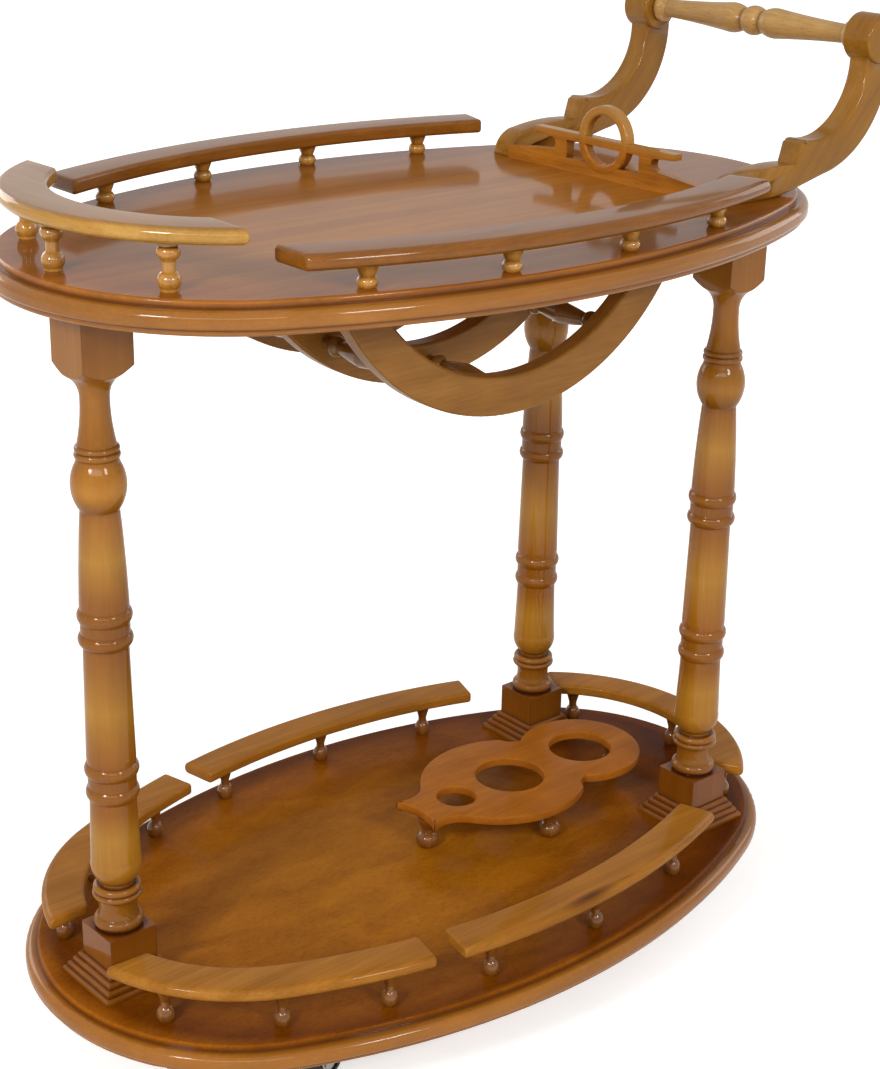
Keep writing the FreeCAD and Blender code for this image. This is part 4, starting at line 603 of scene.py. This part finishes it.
def caster_rubber():
    """Moulded dark rubber: near black, scuffed dull."""
    material, tree = blank_material("caster_moulded_rubber")
    scuff = noise(tree, add(tree, "TexCoord").outputs["Object"], 2.5, 5.0)
    colour = ramp(tree, scuff, [(0.35, "#1C1A19"), (0.75, "#34302D")])
    relief = add(tree, "Bump", {"Strength": 0.3, "Distance": 0.0003, "Height": scuff}).outputs[0]
    shader = add(tree, "BsdfPrincipled", {"Base Color": colour, "Roughness": 0.62, "Normal": relief})
    add(tree, "OutputMaterial", {0: shader.outputs[0]})
    return material


dress(caster_rubber(), *named("caster_wheel"))
dress(caster_zinc(), *named("caster_plate", "caster_fork", "caster_axle", "caster_screws"))

# Studio floor: matt sheet that keeps a shadow near the trolley and reads white further off
FLOOR_REACH, FLOOR_ROWS = 30.0, 3
NEAR_M, FAR_M, NEAR_LIFT, FAR_LIFT = 0.5, 2.2, 0.55, 1.0


def floor_surface(reach, rows):
    """Flat square of a reach each way from the middle: x and y on a grid of rows by rows, z nought."""
    line = np.linspace(-reach, reach, rows)
    x, y = np.meshgrid(line, line, indexing="ij")
    points = np.stack([x, y, np.zeros_like(x)], axis=-1).reshape(-1, 3)
    first = (np.arange(rows - 1)[:, None] * rows + np.arange(rows - 1)[None, :]).reshape(-1)
    faces = np.stack([first, first + rows, first + rows + 1, first + 1], axis=-1)
    mesh = bpy.data.meshes.new("floor")
    mesh.from_pydata(points.tolist(), [], faces.tolist())
    return in_scene("floor", mesh)


def studio_sheet():
    """Matt white sheet: it takes the shadow, with a lift of light that only the camera and gloss see."""
    material, tree = blank_material("studio_white_sheet")
    place = add(tree, "TexCoord").outputs["Object"]
    away = add(tree, "VectorMath", {0: place}, operation="LENGTH").outputs["Value"]
    level = add(tree, "MapRange", {0: away, 1: NEAR_M, 2: FAR_M, 3: NEAR_LIFT, 4: FAR_LIFT}).outputs[0]
    lift = add(tree, "Math", {0: seen_share(tree), 1: level}, operation="MULTIPLY").outputs[0]
    colour = ramp(tree, noise(tree, place, 40, 3.0), [(0.3, "#EAE9E6"), (0.7, "#EEEDEB")])
    matt = add(tree, "BsdfDiffuse", {"Color": colour})
    glow = add(tree, "Emission", {"Color": linear(WHITE), "Strength": lift})
    both = add(tree, "AddShader", {0: matt.outputs[0], 1: glow.outputs[0]})
    add(tree, "OutputMaterial", {0: both.outputs[0]})
    return material


floor = floor_surface(FLOOR_REACH, FLOOR_ROWS)
floor.data.materials.append(studio_sheet())

# World: soft light all round; white where the camera and the gloss see it
AMBIENT, SEEN_WHITE = 0.32, 1.0
scene = bpy.context.scene
scene.world = bpy.data.worlds.new("studio")
scene.world.use_nodes = True
tree = scene.world.node_tree
tree.nodes.clear()
strength = add(tree, "MapRange", {0: seen_share(tree), 3: AMBIENT, 4: SEEN_WHITE}).outputs[0]
light = add(tree, "Background", {"Color": linear(WHITE), "Strength": strength})
add(tree, "OutputWorld", {0: light.outputs[0]})

# Camera: place and turn from the perspective fit of the photograph
YAW, PITCH, ROLL = 0.7157, 0.3774, -0.0206
CAMERA_PLACE = (-1.1183, -1.2959, 1.0861)
FOCAL_PX, PHOTO_HEIGHT_PX, SENSOR_MM = 2000.9, 1069, 36.0
ahead = Vector((math.sin(YAW) * math.cos(PITCH), math.cos(YAW) * math.cos(PITCH), -math.sin(PITCH)))
right = Vector((math.cos(YAW), -math.sin(YAW), 0.0))
down = ahead.cross(right)
across = math.cos(ROLL) * right + math.sin(ROLL) * down
below = -math.sin(ROLL) * right + math.cos(ROLL) * down
turn = Matrix((across, -below, -ahead)).transposed()
camera = in_scene("camera", bpy.data.cameras.new("camera"))
camera.data.sensor_fit = "VERTICAL"
camera.data.sensor_height = SENSOR_MM
camera.data.lens = SENSOR_MM * FOCAL_PX / PHOTO_HEIGHT_PX
camera.matrix_world = Matrix.Translation(CAMERA_PLACE) @ turn.to_4x4()
scene.camera = camera


def soft_lamp(name, place, target, width, height, power):
    """A soft box: a rectangle of light at a place, facing a target."""
    lamp = bpy.data.lights.new(name, "AREA")
    lamp.shape = "RECTANGLE"
    lamp.size, lamp.size_y, lamp.energy = width, height, power
    holder = in_scene(name, lamp)
    holder.location = place
    holder.rotation_mode = "QUATERNION"
    holder.rotation_quaternion = (Vector(target) - Vector(place)).to_track_quat("-Z", "Y")


# Lamps: two small ones for paired highlights, a wide one behind the camera, two low ones for the far sides
MIDDLE, WIDE_AIM = (0.0, 0.0, 0.45), (0.0, 0.0, 0.5)
soft_lamp("lamp_left", (-2.35, -0.75, 1.75), MIDDLE, width=0.5, height=0.5, power=34)
soft_lamp("lamp_right", (-0.05, -2.45, 1.75), MIDDLE, width=0.5, height=0.5, power=23)
soft_lamp("wide_box", (-2.15, -2.35, 2.0), WIDE_AIM, width=3.0, height=0.6, power=26)
soft_lamp("fill_right", (2.3, -0.3, 1.2), MIDDLE, width=1.0, height=1.0, power=9)
soft_lamp("fill_rear", (-0.3, 2.3, 1.2), MIDDLE, width=1.0, height=1.0, power=11)

scene.view_settings.view_transform = "Standard"
